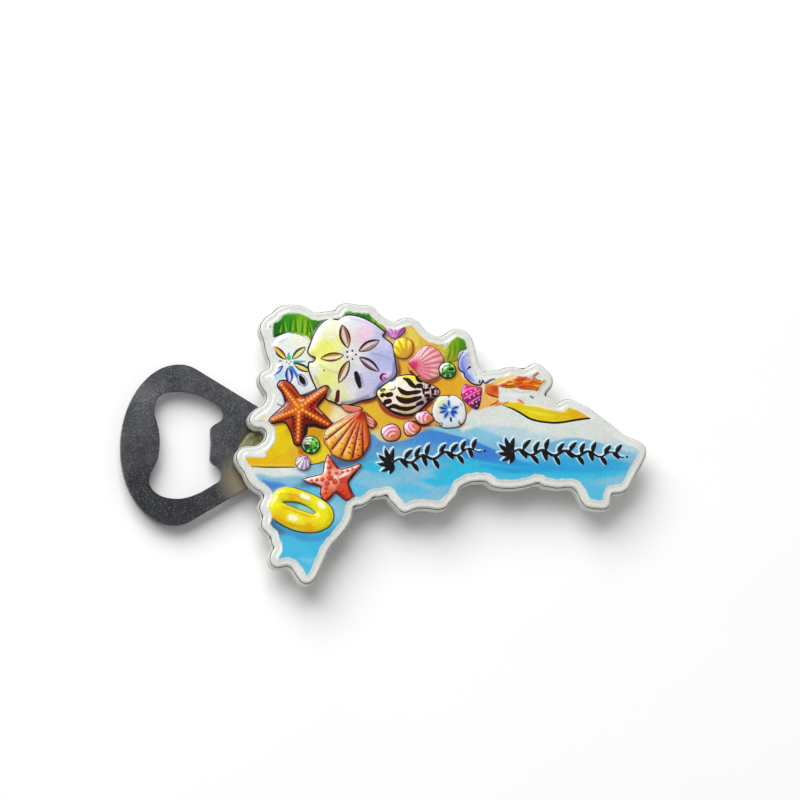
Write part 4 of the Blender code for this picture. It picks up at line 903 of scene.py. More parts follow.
def draw_red_star(sheet):
    star = closed_curve([(-16.3, -3.2), (-15, -4.8), (-13.3, -7), (-11.5, -6.8), (-9.5, -6.2), (-8.2, -5.6),
        (-7.4, -6), (-8.5, -7.3), (-10, -8.9), (-11, -10.6), (-10.4, -12.5), (-9.4, -14.6), (-11.7, -15.3),
        (-14.3, -13.4), (-15.6, -14.5), (-16.8, -15.6), (-17.8, -15), (-18.5, -13.5), (-18.4, -11.9),
        (-20.5, -11.2), (-22.9, -10.1), (-21, -9.3), (-19, -8.8), (-17.7, -8), (-17.3, -6), (-16.8, -4.3)])
    sheet.shade(star, (0.5, -0.6), (40, 60, 110), 0.6)
    sheet.fill(star, blend((-16.2, -5.4, 1.5, (226, 104, 66)), (-20.4, -10.1, 1.4, (250, 206, 186)),
        (-15, -9.2, 1.5, (246, 172, 150)), (-10.6, -7, 1.4, (244, 150, 124)),
        (-11.6, -13.2, 1.5, (214, 70, 40)), (-17.2, -13.6, 1.3, (230, 98, 56)),
        (-12.6, -10, 1.2, (206, 66, 50)), (-17.4, -9, 1, (236, 140, 110))), height=0.66, shoulder=1.8)
    for points in ([(-16.6, -4.6), (-17, -6.6), (-17.4, -8.2)], [(-18.6, -9), (-20.4, -9.6), (-22, -10)],
            [(-13.4, -7.3), (-10.8, -6.9), (-8.8, -6.2)], [(-13.4, -9.4), (-12, -8.6), (-10.8, -8)],
            [(-14.6, -8.4), (-14, -10.4)]):
        sheet.dab(points, (0.3, 0.7, 0.3)[:len(points)], (255, 236, 222), soft=0.25)
    for points in ([(-8.6, -7.3), (-10.2, -9.2), (-11.1, -10.6)],
            [(-11, -10.9), (-10.6, -12.8), (-10.2, -14.3)], [(-12, -14.6), (-14.2, -13)],
            [(-18.2, -11.8), (-20.4, -11)], [(-15, -14), (-16.6, -15.1)], [(-15.2, -5), (-13.8, -6.8)]):
        sheet.dab(points, (0.5, 0.8, 0.4)[:len(points)], (166, 26, 18), soft=0.25)
    for x, y, radius in ((-16.1, -6.6, 0.62), (-16.1, -8.1, 0.45), (-15.9, -9.5, 0.75), (-18, -10, 0.5),
            (-16.7, -11, 0.62), (-14.6, -10.5, 0.72), (-13.6, -11.9, 0.5), (-12.8, -12.8, 0.5),
            (-17.1, -12.3, 0.42), (-17.2, -13.6, 0.36), (-19.4, -10.1, 0.42), (-20.8, -10.2, 0.3),
            (-12, -13.9, 0.42), (-14.2, -8.3, 0.4), (-12.6, -8, 0.3), (-11.2, -7.5, 0.36), (-9.8, -7, 0.3),
            (-16.3, -5.2, 0.4), (-12.9, -10.5, 0.3)):
        sheet.dab([(x, y)], radius * 2 + 0.16, (168, 36, 20), soft=0.1)
        sheet.dab([(x - 0.06, y + 0.08)], radius * 1.6, (226, 76, 40), soft=0.1, bump=0.1)
    sheet.outline(star, 0.34, (74, 10, 10))
    sheet.line([(-7.6, -6.2), (-9.6, -8.8), (-10.9, -10.7), (-10.2, -12.7), (-9.4, -14.5)],
        (0.2, 0.5, 0.45, 0.5, 0.2), (60, 6, 10))


def draw_swim_ring(sheet):
    ring = closed_curve([(-31.9, -20), (-32.3, -17.5), (-31.8, -15.5), (-30.7, -13.6), (-29.5, -12.6),
        (-27.5, -12.1), (-25, -12.4), (-22.5, -13.2), (-20, -14.2), (-17.8, -15.4), (-16.1, -16.8),
        (-15.2, -18.3), (-15, -19.8), (-15.4, -21.2), (-16.3, -22.4), (-18, -23.4), (-20, -24),
        (-22, -24.1), (-24.5, -23.8), (-27, -23), (-29.5, -21.7), (-31.3, -20.5)])
    hole = closed_curve([(-28.5, -16.1), (-26.5, -16), (-24, -16.4), (-22, -17.2), (-20.5, -18.2),
        (-19.9, -18.9), (-20.8, -19), (-23, -18.4), (-25.5, -17.6), (-27.5, -16.7)])
    sheet.dab([(-30, -22.2), (-26, -24.2), (-21, -25.2), (-16.6, -24)], (0.5, 1.2, 1.2, 0.5),
        (62, 156, 206), soft=0.6)
    index, depth = sheet.fill(ring, blend((-30.6, -16.6, 2, (240, 236, 20)),
        (-28.6, -14, 1.8, (232, 222, 10)), (-24, -14.4, 2, (238, 214, 20)), (-19, -16.4, 2, (240, 232, 30)),
        (-16.8, -19.4, 2, (236, 228, 10)), (-20, -21.4, 2, (238, 216, 10)), (-25, -21, 2, (242, 236, 40)),
        (-29.6, -19.4, 2, (238, 204, 14)), (-26, -14.9, 1, (235, 178, 20)),
        (-21.4, -22.6, 1.2, (232, 170, 16)), (-30.4, -20.4, 1.0, (234, 176, 20))))
    inner = loop_depth(sheet.at[index], hole)
    middle = np.clip(depth, 0, None) / np.maximum(np.clip(depth, 0, None) + np.clip(-inner, 0, None), 1e-6)
    on_ring = (depth > 0) & (inner < 0)
    arch = np.sqrt(np.clip(1 - (2 * middle - 1) ** 2, 0, 1))
    sheet.rise[index[on_ring]] = 0.7 * arch[on_ring]
    sheet.fill(hole, blend((-27, -16.5, 1, (100, 160, 165)), (-22, -18, 1, (140, 200, 190))), soft=0.15)
    sheet.dab([(-28, -16.2), (-25, -16.1), (-22.2, -17)], (0.2, 0.4, 0.2), (66, 96, 90))
    sheet.dabs((([(-27.6, -14), (-24.4, -14.6), (-21.6, -15.8)], (0.4, 0.8, 0.3), (226, 176, 14)),
        ([(-30.4, -20.2), (-27.6, -21.8), (-24, -22.7), (-20, -22.8)], (0.4, 1.0, 1.1, 0.4),
        (234, 178, 14)), ([(-28.8, -17.4), (-26.4, -18.2), (-22.6, -19.6), (-20, -20)],
        (0.3, 0.7, 0.7, 0.3), (214, 178, 8)),
        ([(-16.4, -18), (-15.9, -19.8), (-16.8, -21.4)], (0.4, 0.7, 0.3), (226, 196, 10))), soft=0.4)
    for points, width in (([(-23.4, -14.4), (-21.9, -15)], 1.2), ([(-18.7, -16.4), (-17.9, -17.2)], 1.3),
            ([(-26.6, -20.2), (-25.4, -20.5)], 1.4), ([(-30.9, -15.8), (-30.3, -14.8)], 0.5)):
        sheet.dab(points, width, (252, 252, 210), soft=0.4)
    rim = [(-31.9, -20), (-29.5, -21.8), (-27, -23.1), (-24.5, -23.9), (-22, -24.2), (-20, -24.1),
        (-18, -23.5), (-16.3, -22.5), (-15.3, -21.2), (-14.9, -19.8), (-15.1, -18.2), (-16, -16.7),
        (-17.8, -15.3), (-20, -14.1), (-22.5, -13.1), (-25, -12.3), (-27, -12.1)]
    sheet.line(rim, (0.15,) + (0.34,) * 12 + (0.28,) * 3 + (0.12,), (40, 34, 10))
    sheet.outline(hole, 0.26, (60, 60, 20))


# ---------------------------------------------------------------- leaf-scroll ornament

def draw_ornament(sheet):
    """Two runs of black raised leaf scroll on the sea: a frond of long leaves, then a leafy stem."""
    def brush(points, widths):
        points, widths = np.array(points, float), np.array(widths, float)
        # Painted highlight: a pale copy of each stroke, shifted up and left, lies under the ink.
        sheet.dab(points + (-0.2, 0.24), widths + 0.3, SCROLL_HIGHLIGHT, soft=0.14)
        sheet.line(points, widths, SCROLL_INK, raised=0.14)

    def sprig(x, y, angle, length, width):
        """One leaf: thin stalk, full middle, pointed end."""
        way = np.array([math.cos(math.radians(angle)), math.sin(math.radians(angle))]) * length
        side = np.array([-way[1], way[0]]) * 0.10
        start = np.array((x, y))
        brush([start, start + way * 0.4 + side, start + way * 0.72 + side * 0.8, start + way],
            (0.2, width, width * 0.85, 0.1))

    for x, y, slope, length in ((1.2, -5.0, 0.17, 23.6), (33.6, -1.6, -0.01, 29.6)):
        for angle, reach in ((152, 4.6), (118, 4.6), (86, 4.0), (184, 4.4), (216, 4.2), (250, 3.4)):
            sprig(x, y, angle, reach, 1.25)
        steps = np.linspace(0, 1, 48)
        wave = 0.7 * np.sin(steps * length / 6.2 * 2 * math.pi)
        stem = np.column_stack([x + steps * length, y + slope * steps * length + wave])
        brush(stem, 0.42 + 0.4 * np.sin(math.pi * np.clip(steps + 0.1, 0, 1)))
        count = int(length / 1.5)
        for number in range(1, count):
            at = stem[int(number / count * 47)]
            up = number % 2 == 0
            turn = (64 if up else -56) + 12 * math.sin(number * 2.3)
            sprig(at[0], at[1], turn, 3.5 - 0.8 * number / count + (0.4 if up else 0), 1.25)
        sheet.line([stem[-1] + (1.0, 0.2)], 0.7, SCROLL_INK, raised=0.2)


# ---------------------------------------------------------------- printed sheet

# Grid spacing: fine over the picture's middle, coarse towards the sheet's ends.
FINE_STEP, COARSE_STEP = 0.205, 0.295
FINE_X, FINE_Y = (-33, 28), (-25, 34)
GRID_SPARE = 0.3

# Heights above the sheet's underside and widths in from its edge.
BASE_RISE = 0.5
PRINT_STEP = 0.18
PRINT_MARGIN = 2.1
EDGE_ROUND = 0.45
EDGE_DROP = 0.42
RELIEF_LIMITS = (-0.1, 0.72)
TOP_CLEARANCE = 0.01
LEAST_CELL_DEPTH = 0.02

# Unevenness: how much, then its size and seed for ripple.
MARGIN_WOBBLE = (0.14, 3.1, 0.0)
MARGIN_FRAY = (0.07, 1.1, 2.0)
BORDER_CLOUD = (0.02, 5.0, 1.0)
SURFACE_WAVE = (0.012, 7.0, 0.5)


def grid_lines(low, high, fine_low, fine_high):
    """Grid positions, close together between fine_low and fine_high and wider outside."""
    parts = []
    for start, end, step in ((low, fine_low, COARSE_STEP), (fine_low, fine_high, FINE_STEP),
                             (fine_high, high, COARSE_STEP)):
        if end > start:
            parts.append(np.linspace(start, end, max(2, round((end - start) / step) + 1))[:-1])
    parts.append(np.array([high]))
    return np.concatenate(parts)


def drawn_sheet():
    """The sheet with all of its artwork painted on."""
    (west, south), (east, north) = COAST.min(0) - GRID_SPARE, COAST.max(0) + GRID_SPARE
    sheet = Sheet(grid_lines(west, east, *FINE_X), grid_lines(south, north, *FINE_Y))
    for draw in (draw_sea, draw_right_beach, draw_shore, draw_grass, draw_small_dollar, draw_big_dollar,
                 draw_right_shells, draw_blue_dollar, draw_small_scallops, draw_whelk, draw_round_shells,
                 draw_snails, draw_orange_star, draw_orange_scallop, draw_red_star, draw_swim_ring,
                 draw_ornament):
        draw(sheet)
    return sheet


def smoothed(values, shape):
    """Values on the grid, averaged a little with their neighbours."""
    field = values.reshape(shape)
    for axis in (0, 1):
        field = (field + 0.5 * (np.roll(field, 1, axis) + np.roll(field, -1, axis))) / 2
    return field.ravel()


def printed_mesh(sheet):
    """Closed solid of the sheet, relief on top, with its colours stored at the vertices."""
    shape = (len(sheet.xs), len(sheet.ys))

    def uneven(amount, size, seed):
        return amount * ripple(*sheet.at.T, size, seed)

    ragged = PRINT_MARGIN + uneven(*MARGIN_WOBBLE) + uneven(*MARGIN_FRAY)
    bare = ease(ragged - sheet.coast, -0.1, 0.1)[:, None]
    border = pigment(BORDER_WHITE) * (1 + uneven(*BORDER_CLOUD))[:, None]
    sheet.paint = sheet.paint * (1 - bare) + border * bare
    sheet.ink = np.minimum(sheet.ink, sheet.coast - ragged)
    plateau = ease(sheet.coast, ragged - 0.75, ragged - 0.15)
    relief = smoothed(np.clip(sheet.rise, *RELIEF_LIMITS), shape)
    relief = relief * ease(sheet.coast, ragged - 0.5, ragged + 0.5)
    height = BASE_RISE + PRINT_STEP * plateau + relief - EDGE_DROP * (1 - dome(sheet.coast, EDGE_ROUND))
    height += uneven(*SURFACE_WAVE)
    top = np.minimum(FACE_LOW.z / MM + height, FACE_TOP.z / MM - TOP_CLEARANCE)

    number = np.arange(len(sheet.at)).reshape(shape)
    cells = np.stack([number[:-1, :-1], number[1:, :-1], number[1:, 1:], number[:-1, 1:]], axis=-1)
    cells = cells.reshape(-1, 4)
    cells = cells[sheet.coast[cells].mean(axis=1) > LEAST_CELL_DEPTH]
    sides = np.concatenate([np.stack([cells[:, k], cells[:, (k + 1) % 4]], axis=1) for k in range(4)])
    there = set(map(tuple, sides))
    rim = np.array([side for side in map(tuple, sides) if side[::-1] not in there])
    on_rim = np.zeros(len(sheet.at), bool)
    on_rim[rim.ravel()] = True
    place = np.where(on_rim[:, None], sheet.edge, sheet.at) + DRAWING_ORIGIN
    place = np.clip(place, (FACE_LOW.x / MM, FACE_LOW.y / MM), (FACE_TOP.x / MM, FACE_TOP.y / MM))
    top = np.where(on_rim, FACE_LOW.z / MM + BASE_RISE - EDGE_DROP, top)

    used = np.unique(cells)
    new = np.full(len(sheet.at), -1)
    new[used] = np.arange(len(used))
    rim_used = np.unique(rim)
    low_new = np.full(len(sheet.at), -1)
    low_new[rim_used] = len(used) + np.arange(len(rim_used))
    points = np.concatenate([
        np.column_stack([place[used], top[used]]),
        np.column_stack([place[rim_used], np.full(len(rim_used), SHEET_BOTTOM)])])
    walls = np.column_stack([new[rim[:, 1]], new[rim[:, 0]], low_new[rim[:, 0]], low_new[rim[:, 1]]])
    faces = new[cells].tolist() + walls.tolist()
    mesh = bpy.data.meshes.new("printed_film")
    mesh.from_pydata((points * MM).tolist(), [], faces)

    whole = np.concatenate([used, rim_used])
    for name, values in (("paint", sheet.paint), ("ink_colour", sheet.ink_colour)):
        attribute = mesh.attributes.new(name, "FLOAT_COLOR", "POINT")
        rgba = np.column_stack([values[whole], np.ones(len(whole))]).astype(np.float32)
        attribute.data.foreach_set("color", rgba.ravel())
    attribute = mesh.attributes.new("ink", "FLOAT", "POINT")
    attribute.data.foreach_set("value", sheet.ink[whole].astype(np.float32))
    mesh.polygons.foreach_set("use_smooth", np.arange(len(faces)) < len(cells))
    close_bottom(mesh)
    return mesh


def close_bottom(mesh):
    """Fills the open underside with one flat face for each loop of open edges."""
    shape = bmesh.new()
    shape.from_mesh(mesh)
    open_edges = [edge for edge in shape.edges if edge.is_boundary]
    made = bmesh.ops.holes_fill(shape, edges=open_edges, sides=0)["faces"]
    bmesh.ops.recalc_face_normals(shape, faces=made)
    for face in made:
        face.smooth = False
        if face.normal.z > 0:
            face.normal_flip()
    shape.to_mesh(mesh)
    shape.free()


# ---------------------------------------------------------------- stacked outlines: board and glue

def signed_area(loop):
    """Twice the loop's area: positive when it runs anticlockwise."""
    after = np.roll(loop, -1, axis=0)
    return np.sum(loop[:, 0] * after[:, 1] - loop[:, 1] * after[:, 0])


def stacked(name, outlines):
    """Solid through closed outlines of equal length, each (plan points, height) in mm, bottom first."""
    count = len(outlines[0][0])
    points = np.concatenate([np.column_stack([plan, np.broadcast_to(level, (count,))])
                             for plan, level in outlines])
    ring = np.arange(count)
    after = np.roll(ring, -1)
    faces = []
    for layer in range(len(outlines) - 1):
        low, high = layer * count, (layer + 1) * count
        faces += np.column_stack([low + ring, low + after, high + after, high + ring]).tolist()
    last = (len(outlines) - 1) * count
    faces += [ring[::-1].tolist(), (last + ring).tolist()]
    if signed_area(outlines[0][0]) < 0:
        faces = [face[::-1] for face in faces]
    mesh = bpy.data.meshes.new(name)
    mesh.from_pydata((points * MM).tolist(), [], faces)
    mesh.polygons.foreach_set("use_smooth", [len(face) == 4 for face in faces])
    return mesh


def inset(loop, distance):
    """Outline moved inward along its own normals."""
    run = np.roll(loop, -1, axis=0) - np.roll(loop, 1, axis=0)
    for _ in range(3):
        run = run + 0.5 * (np.roll(run, 1, axis=0) + np.roll(run, -1, axis=0))
    side = np.stack([-run[:, 1], run[:, 0]], axis=1) / np.linalg.norm(run, axis=1)[:, None]
    return loop + side * math.copysign(1, signed_area(loop)) * np.reshape(distance, (-1, 1))


# Profile of the board's edge: heights with how far in each lies, up from its underside and from its top.
GROOVE_INSET = 0.27
EDGE_FROM_BOTTOM = ((0.0, 0.42), (0.06, 0.22), (0.2, 0.07), (0.45, 0.0), (1.2, 0.03), (1.9, 0.0), (2.6, 0.03))
EDGE_FROM_TOP = ((-0.3, 0.0), (-0.1, 0.05), (0.0, 0.14), (-0.03, 0.22), (-0.4, GROOVE_INSET), (-0.5, 0.5),
                 (-0.45, 0.9))


def board_mesh():
    """The cut board: its edge slightly wavy, its corners worn, a narrow groove round the sheet."""
    edge = closed_curve(cad_outline("board", BOARD_LOW.z), 3)
    wave = 0.03 + 0.03 * ripple(edge[:, 0], edge[:, 1], 2.3)
    low = BOARD_LOW.z / MM
    tall = SHEET_BOTTOM - low
    layers = EDGE_FROM_BOTTOM + tuple((tall + drop, depth) for drop, depth in EDGE_FROM_TOP)
    outlines = [(inset(edge, np.minimum(wave, 0.1 + depth) + depth), low + rise) for rise, depth in layers]
    mesh = stacked("board_body", outlines)
    # Painted shade: the groove's walls near the top are marked to be coloured near-black.
    groove_shade = mesh.attributes.new("groove_shade", "FLOAT", "POINT")
    in_groove = [float(depth >= GROOVE_INSET and rise > tall / 2) for rise, depth in layers]
    dark = np.repeat(in_groove, len(edge))
    groove_shade.data.foreach_set("value", dark.astype(np.float32))
    return mesh


# The glue pad is shorter than its CAD node by this much at each end, and shifted east. Its fillet is drawn
# round GLUE_AT.
GLUE_AT = (-35.1, 1.4)
GLUE_FILLET = (
    (-4.5, -2.3), (-2.8, 0.3), (-0.9, 2.1), (1.6, 3.4), (3.9, 2.6), (4.1, -0.4), (1.6, -2.6), (-1.7, -3.8),
    (-3.7, -3.3))
GLUE_RINGS = 16
GLUE_SHORTER = 3
GLUE_SHIFT = 1.5
GLUE_BEVEL = (0.4, 0.25)


def glue_mesh():
    """Squeezed film of glue between plate and board, run out into a fillet in the board's notch."""
    low, high = (np.array(corner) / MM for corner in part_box("plate_adhesive"))
    bottom = PLATE_TOP.z / MM
    middle = (low + high)[:2] / 2
    half = (high - low)[:2] / 2 - (GLUE_SHORTER, 0)
    pad = oval(middle + (GLUE_SHIFT, 0), *half, count=96)
    pad = middle + (pad - middle) * (1 + 0.035 * ripple(pad[:, 0], pad[:, 1], 9.0))[:, None]
    top = BOARD_LOW.z / MM + 0.02
    inward, upward = GLUE_BEVEL
    small = inset(pad, inward)
    film = stacked("glue_film", [(small, bottom), (pad, bottom + upward), (pad, top - upward), (small, top)])
    wall = cad_outline("board", BOARD_LOW.z)
    centre = DRAWING_ORIGIN + GLUE_AT
    rim = closed_curve(centre + GLUE_FILLET)
    shape = bmesh.new()
    shape.from_mesh(film)
    rings = []
    for share in np.linspace(1, 0.08, GLUE_RINGS):
        plan = centre + (rim - centre) * share
        apart = np.clip(-loop_depth(plan, wall), 0, None)
        climb = 0.5 * np.exp(-apart / 0.6) + 0.5 * ease(plan[:, 0] - centre[0], -3.5, 3)
        level = bottom - 0.02 + (0.06 + climb) * ease(1 - share, 0, 0.5)
        rings.append([shape.verts.new(Vector((*point, min(z, high[2]))) * MM)
                      for point, z in zip(plan, level)])
    under = [shape.verts.new(Vector((*point, bottom - 0.05)) * MM) for point in rim]
    rings.insert(0, under)
    for lower, upper in zip(rings, rings[1:]):
        for here in range(len(rim)):
            after = (here + 1) % len(rim)
            shape.faces.new((lower[here], lower[after], upper[after], upper[here])).smooth = True
    shape.faces.new(rings[-1]).smooth = True
    shape.faces.new(under[::-1])
    mesh = bpy.data.meshes.new("glue_bead")
    shape.to_mesh(mesh)
    shape.free()
    return mesh


def piece(name, mesh, material, replaced):
    """Adds a mesh as a piece that stands for a CAD node."""
    obj = bpy.data.objects.new(name, mesh)
    bpy.context.scene.collection.objects.link(obj)
    mesh.materials.append(material)
    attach(obj, "root")
    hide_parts(replaced)
    return obj


# ---------------------------------------------------------------- materials

# Spots on the steel plate, in the drawing's millimetres: centres of a painted warm reflection of the board,
# an olive tint, a painted shade and a painted sheen.
BOARD_REFLECTION_AT = (-37.4, -9.6)
OLIVE_TINT_AT = (-34.6, 1.6)
PLATE_SHADE_AT = (-59, -17)
PLATE_SHEEN_AT = (-65.5, 12)


class Finish:
    """Small helper round one material's node tree."""

    def __init__(self, name):
        self.material = bpy.data.materials.new(name)
        self.material.use_nodes = True
        self.nodes = self.material.node_tree.nodes
        self.links = self.material.node_tree.links
        self.shader = self.nodes["Principled BSDF"]
        self.place = self.nodes.new("ShaderNodeTexCoord").outputs["Object"]

    def settings(self, **values):
        for name, value in values.items():
            self.shader.inputs[name.replace("_", " ")].default_value = value

    def attribute(self, name, output):
        node = self.nodes.new("ShaderNodeAttribute")
        node.attribute_name = name
        return node.outputs[output]

    def stretched(self, scale):
        node = self.nodes.new("ShaderNodeMapping")
        node.inputs["Scale"].default_value = scale
        self.links.new(self.place, node.inputs["Vector"])
        return node.outputs["Vector"]

    def noise(self, size, detail=3.0, roughness=0.5, place=None):
        """Noise with features about size millimetres across."""
        node = self.nodes.new("ShaderNodeTexNoise")
        node.inputs["Scale"].default_value = 1 / (size * MM)
        node.inputs["Detail"].default_value = detail
        node.inputs["Roughness"].default_value = roughness
        self.links.new(place or self.place, node.inputs["Vector"])
        return node.outputs["Fac"]

    def cells(self, size):
        """Random grey for each grain about size millimetres across."""
        node = self.nodes.new("ShaderNodeTexVoronoi")
        node.inputs["Scale"].default_value = 1 / (size * MM)
        self.links.new(self.place, node.inputs["Vector"])
        grey = self.nodes.new("ShaderNodeSeparateColor")
        self.links.new(node.outputs["Color"], grey.inputs["Color"])
        return grey.outputs["Red"]

    def spread(self, value, low, high, out_low, out_high, smooth=True):
        """Maps a value from one range to another."""
        node = self.nodes.new("ShaderNodeMapRange")
        node.interpolation_type = "SMOOTHSTEP" if smooth else "LINEAR"
        limits = {"From Min": low, "From Max": high, "To Min": out_low, "To Max": out_high}
        for name, number in limits.items():
            node.inputs[name].default_value = number
        self.links.new(value, node.inputs["Value"])
        return node.outputs["Result"]

    def maths(self, operation, first, second):
        node = self.nodes.new("ShaderNodeMath")
        node.operation = operation
        for socket, value in zip(node.inputs, (first, second)):
            if isinstance(value, (int, float)):
                socket.default_value = value
            else:
                self.links.new(value, socket)
        return node.outputs["Value"]

    def reach(self, spot):
        """Metres from a spot on the plate's top, given in the drawing's millimetres."""
        node = self.nodes.new("ShaderNodeVectorMath")
        node.operation = "DISTANCE"
        self.links.new(self.place, node.inputs[0])
        node.inputs[1].default_value = Vector((*(DRAWING_ORIGIN + spot), PLATE_TOP.z / MM)) * MM
        return node.outputs["Value"]

    def upward(self):
        """How far the surface faces up: 1 on top, -1 underneath."""
        node = self.nodes.new("ShaderNodeSeparateXYZ")
        self.links.new(self.nodes.new("ShaderNodeTexCoord").outputs["Normal"], node.inputs["Vector"])
        return node.outputs["Z"]

    def mixed(self, share, first, second):
        """Colour between two, by share: each a socket or a linear colour."""
        node = self.nodes.new("ShaderNodeMix")
        node.data_type = "RGBA"
        self.links.new(share, node.inputs["Factor"])
        for socket, value in ((node.inputs[6], first), (node.inputs[7], second)):
            if isinstance(value, bpy.types.NodeSocket):
                self.links.new(value, socket)
            else:
                socket.default_value = (*value, 1)
        return node.outputs[2]

    def scaled(self, colour, factor):
        """Colour times a grey value."""
        node = self.nodes.new("ShaderNodeVectorMath")
        node.operation = "SCALE"
        self.links.new(colour, node.inputs[0])
        self.links.new(factor, node.inputs["Scale"])
        return node.outputs["Vector"]

    def into(self, value, name):
        self.links.new(value, self.shader.inputs[name])

    def bumped(self, value, depth, strength=1.0):
        """Surface relief of about depth millimetres from a value between 0 and 1."""
        node = self.nodes.new("ShaderNodeBump")
        node.inputs["Strength"].default_value = strength
        node.inputs["Distance"].default_value = depth * MM
        self.links.new(value, node.inputs["Height"])
        self.links.new(node.outputs["Normal"], self.shader.inputs["Normal"])


def foil_finish():
    """Printed metallic foil under a glossy clear layer."""
    finish = Finish("printed_foil")
    inked = finish.spread(finish.attribute("ink", "Fac"), -0.03, 0.05, 0, 1)
    paint, ink_colour = (finish.attribute(name, "Color") for name in ("paint", "ink_colour"))
    print_colour = finish.mixed(inked, paint, ink_colour)
    grain = finish.spread(finish.cells(0.27), 0, 1, 0.9, 1.1, smooth=False)
    cloud = finish.spread(finish.noise(6.0), 0.3, 0.7, 0.965, 1.035)
    finish.into(finish.scaled(print_colour, finish.maths("MULTIPLY", grain, cloud)), "Base Color")
    finish.into(finish.spread(finish.noise(1.2), 0.3, 0.7, 0.2, 0.34), "Roughness")
    finish.settings(Specular_IOR_Level=0.12, Coat_Weight=0.55, Coat_Roughness=0.06)
    finish.bumped(finish.noise(0.9, 2.0), 0.02, 0.5)
    return finish.material


def board_finish():
    """White board, its cut edge showing faint layers and grime in the pores, with painted shade, near-black,
    inside the groove round the sheet.
    """
    finish = Finish("board_white")
    layers = finish.noise(0.5, 4.0, 0.6, finish.stretched((0.15, 0.15, 1.6)))
    pores = finish.spread(finish.noise(0.22, 2.0), 0.62, 0.74, 0, 1)
    shade = finish.spread(layers, 0.3, 0.7, 0, 1)
    white = finish.mixed(shade, pigment((212, 212, 206)), pigment((230, 230, 224)))
    worn = finish.mixed(pores, white, pigment((176, 172, 162)))
    # Painted shade: the groove round the sheet is coloured near-black.
    groove = finish.spread(finish.attribute("groove_shade", "Fac"), 0.2, 0.8, 0, 1)
    finish.into(finish.mixed(groove, worn, pigment((26, 24, 22))), "Base Color")
    finish.into(finish.spread(layers, 0.3, 0.7, 0.5, 0.66), "Roughness")
    finish.bumped(layers, 0.05, 0.6)
    return finish.material


def steel_finish():
    """Dark satin stainless, tumbled: fine light and dark grain, painted shade towards the lower left, a
    painted sheen towards the upper left, a painted warm reflection of the board beside it and an olive tint
    by the notch.
    """
    finish = Finish("opener_steel")
    mottle = finish.spread(finish.noise(6.0, 4.0, 0.6), 0.3, 0.7, 0, 1)
    fine = finish.spread(finish.noise(0.42, 2.0, 0.6), 0.3, 0.7, 0, 1)
    grain = finish.cells(0.22)
    ground = finish.mixed(mottle, pigment((70, 72, 76)), pigment((90, 91, 94)))
    # Painted shade: the plate darkens towards its lower left. Painted sheen: it brightens towards its upper
    # left.
    ground = finish.scaled(ground, finish.spread(finish.reach(PLATE_SHADE_AT), 0.003, 0.03, 0.6, 1.08))
    ground = finish.scaled(ground, finish.spread(finish.reach(PLATE_SHEEN_AT), 0.001, 0.008, 1.4, 1))
    ground = finish.scaled(ground, finish.spread(grain, 0, 1, 0.62, 1.3, smooth=False))
    glints = finish.spread(grain, 0.9, 1, 0, 0.5, smooth=False)
    ground = finish.mixed(glints, ground, pigment((150, 152, 158)))
    top = finish.spread(finish.upward(), 0.3, 0.7, 0, 1)
    # Olive tint on the plate's top, strongest round the board's notch.
    olive_tint = finish.maths("MULTIPLY", top, finish.spread(finish.reach(OLIVE_TINT_AT), 0.0015, 0.006, 0.8, 0))
    ground = finish.mixed(olive_tint, ground, pigment((92, 90, 56)))
    # Painted reflection: a warm tint of the board on the plate's top beside its lower lobes.
    board_reflection = finish.maths("MULTIPLY", top, finish.spread(finish.reach(BOARD_REFLECTION_AT), 0.002, 0.0095, 0.85, 0))
    finish.into(finish.mixed(board_reflection, ground, pigment((146, 136, 112))), "Base Color")
    finish.into(finish.spread(fine, 0, 1, 0.36, 0.5), "Roughness")
    finish.settings(Metallic=0.92)
    finish.bumped(fine, 0.018, 0.5)
    return finish.material


def glue_finish(name, thin, thick, roughness, size):
    """Set glue: cloudy between two colours."""
    finish = Finish(name)
    cloud = finish.noise(size, 3.0)
    share = finish.spread(cloud, 0.3, 0.7, 0, 1)
    finish.into(finish.mixed(share, pigment(thin), pigment(thick)), "Base Color")
    finish.into(finish.spread(cloud, 0.3, 0.7, roughness, roughness + 0.12), "Roughness")
    finish.settings(Coat_Weight=0.15, Coat_Roughness=0.2)
    finish.bumped(cloud, 0.04, 0.6)
    return finish.material


def ferrite_finish():
    """Pressed ferrite: dark grey with lighter and darker grains."""
    finish = Finish("ferrite")
    grains = finish.cells(0.28)
    cloud = finish.spread(finish.noise(2.5, 4.0, 0.6), 0.3, 0.7, 0, 1)
    ground = finish.mixed(cloud, pigment((52, 51, 52)), pigment((70, 68, 67)))
    bright = finish.spread(grains, 0.9, 1, 0, 0.5)
    finish.into(finish.mixed(bright, ground, pigment((120, 116, 110))), "Base Color")
    finish.into(finish.spread(cloud, 0, 1, 0.5, 0.68), "Roughness")
    finish.bumped(finish.noise(0.3, 3.0), 0.03, 0.6)
    return finish.material


def floor_finish():
    """Pale studio sweep, very slightly uneven."""
    finish = Finish("studio_sweep")
    cloud = finish.spread(finish.noise(120.0), 0.3, 0.7, 0, 1)
    finish.into(finish.mixed(cloud, (0.94,) * 3, (0.96,) * 3), "Base Color")
    finish.into(finish.spread(cloud, 0, 1, 0.8, 0.9), "Roughness")
    finish.settings(Specular_IOR_Level=0.1)
    return finish.material


def paint_node(name, material):
    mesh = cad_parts[name].data
    mesh.materials.clear()
    mesh.materials.append(material)


# ---------------------------------------------------------------- the object

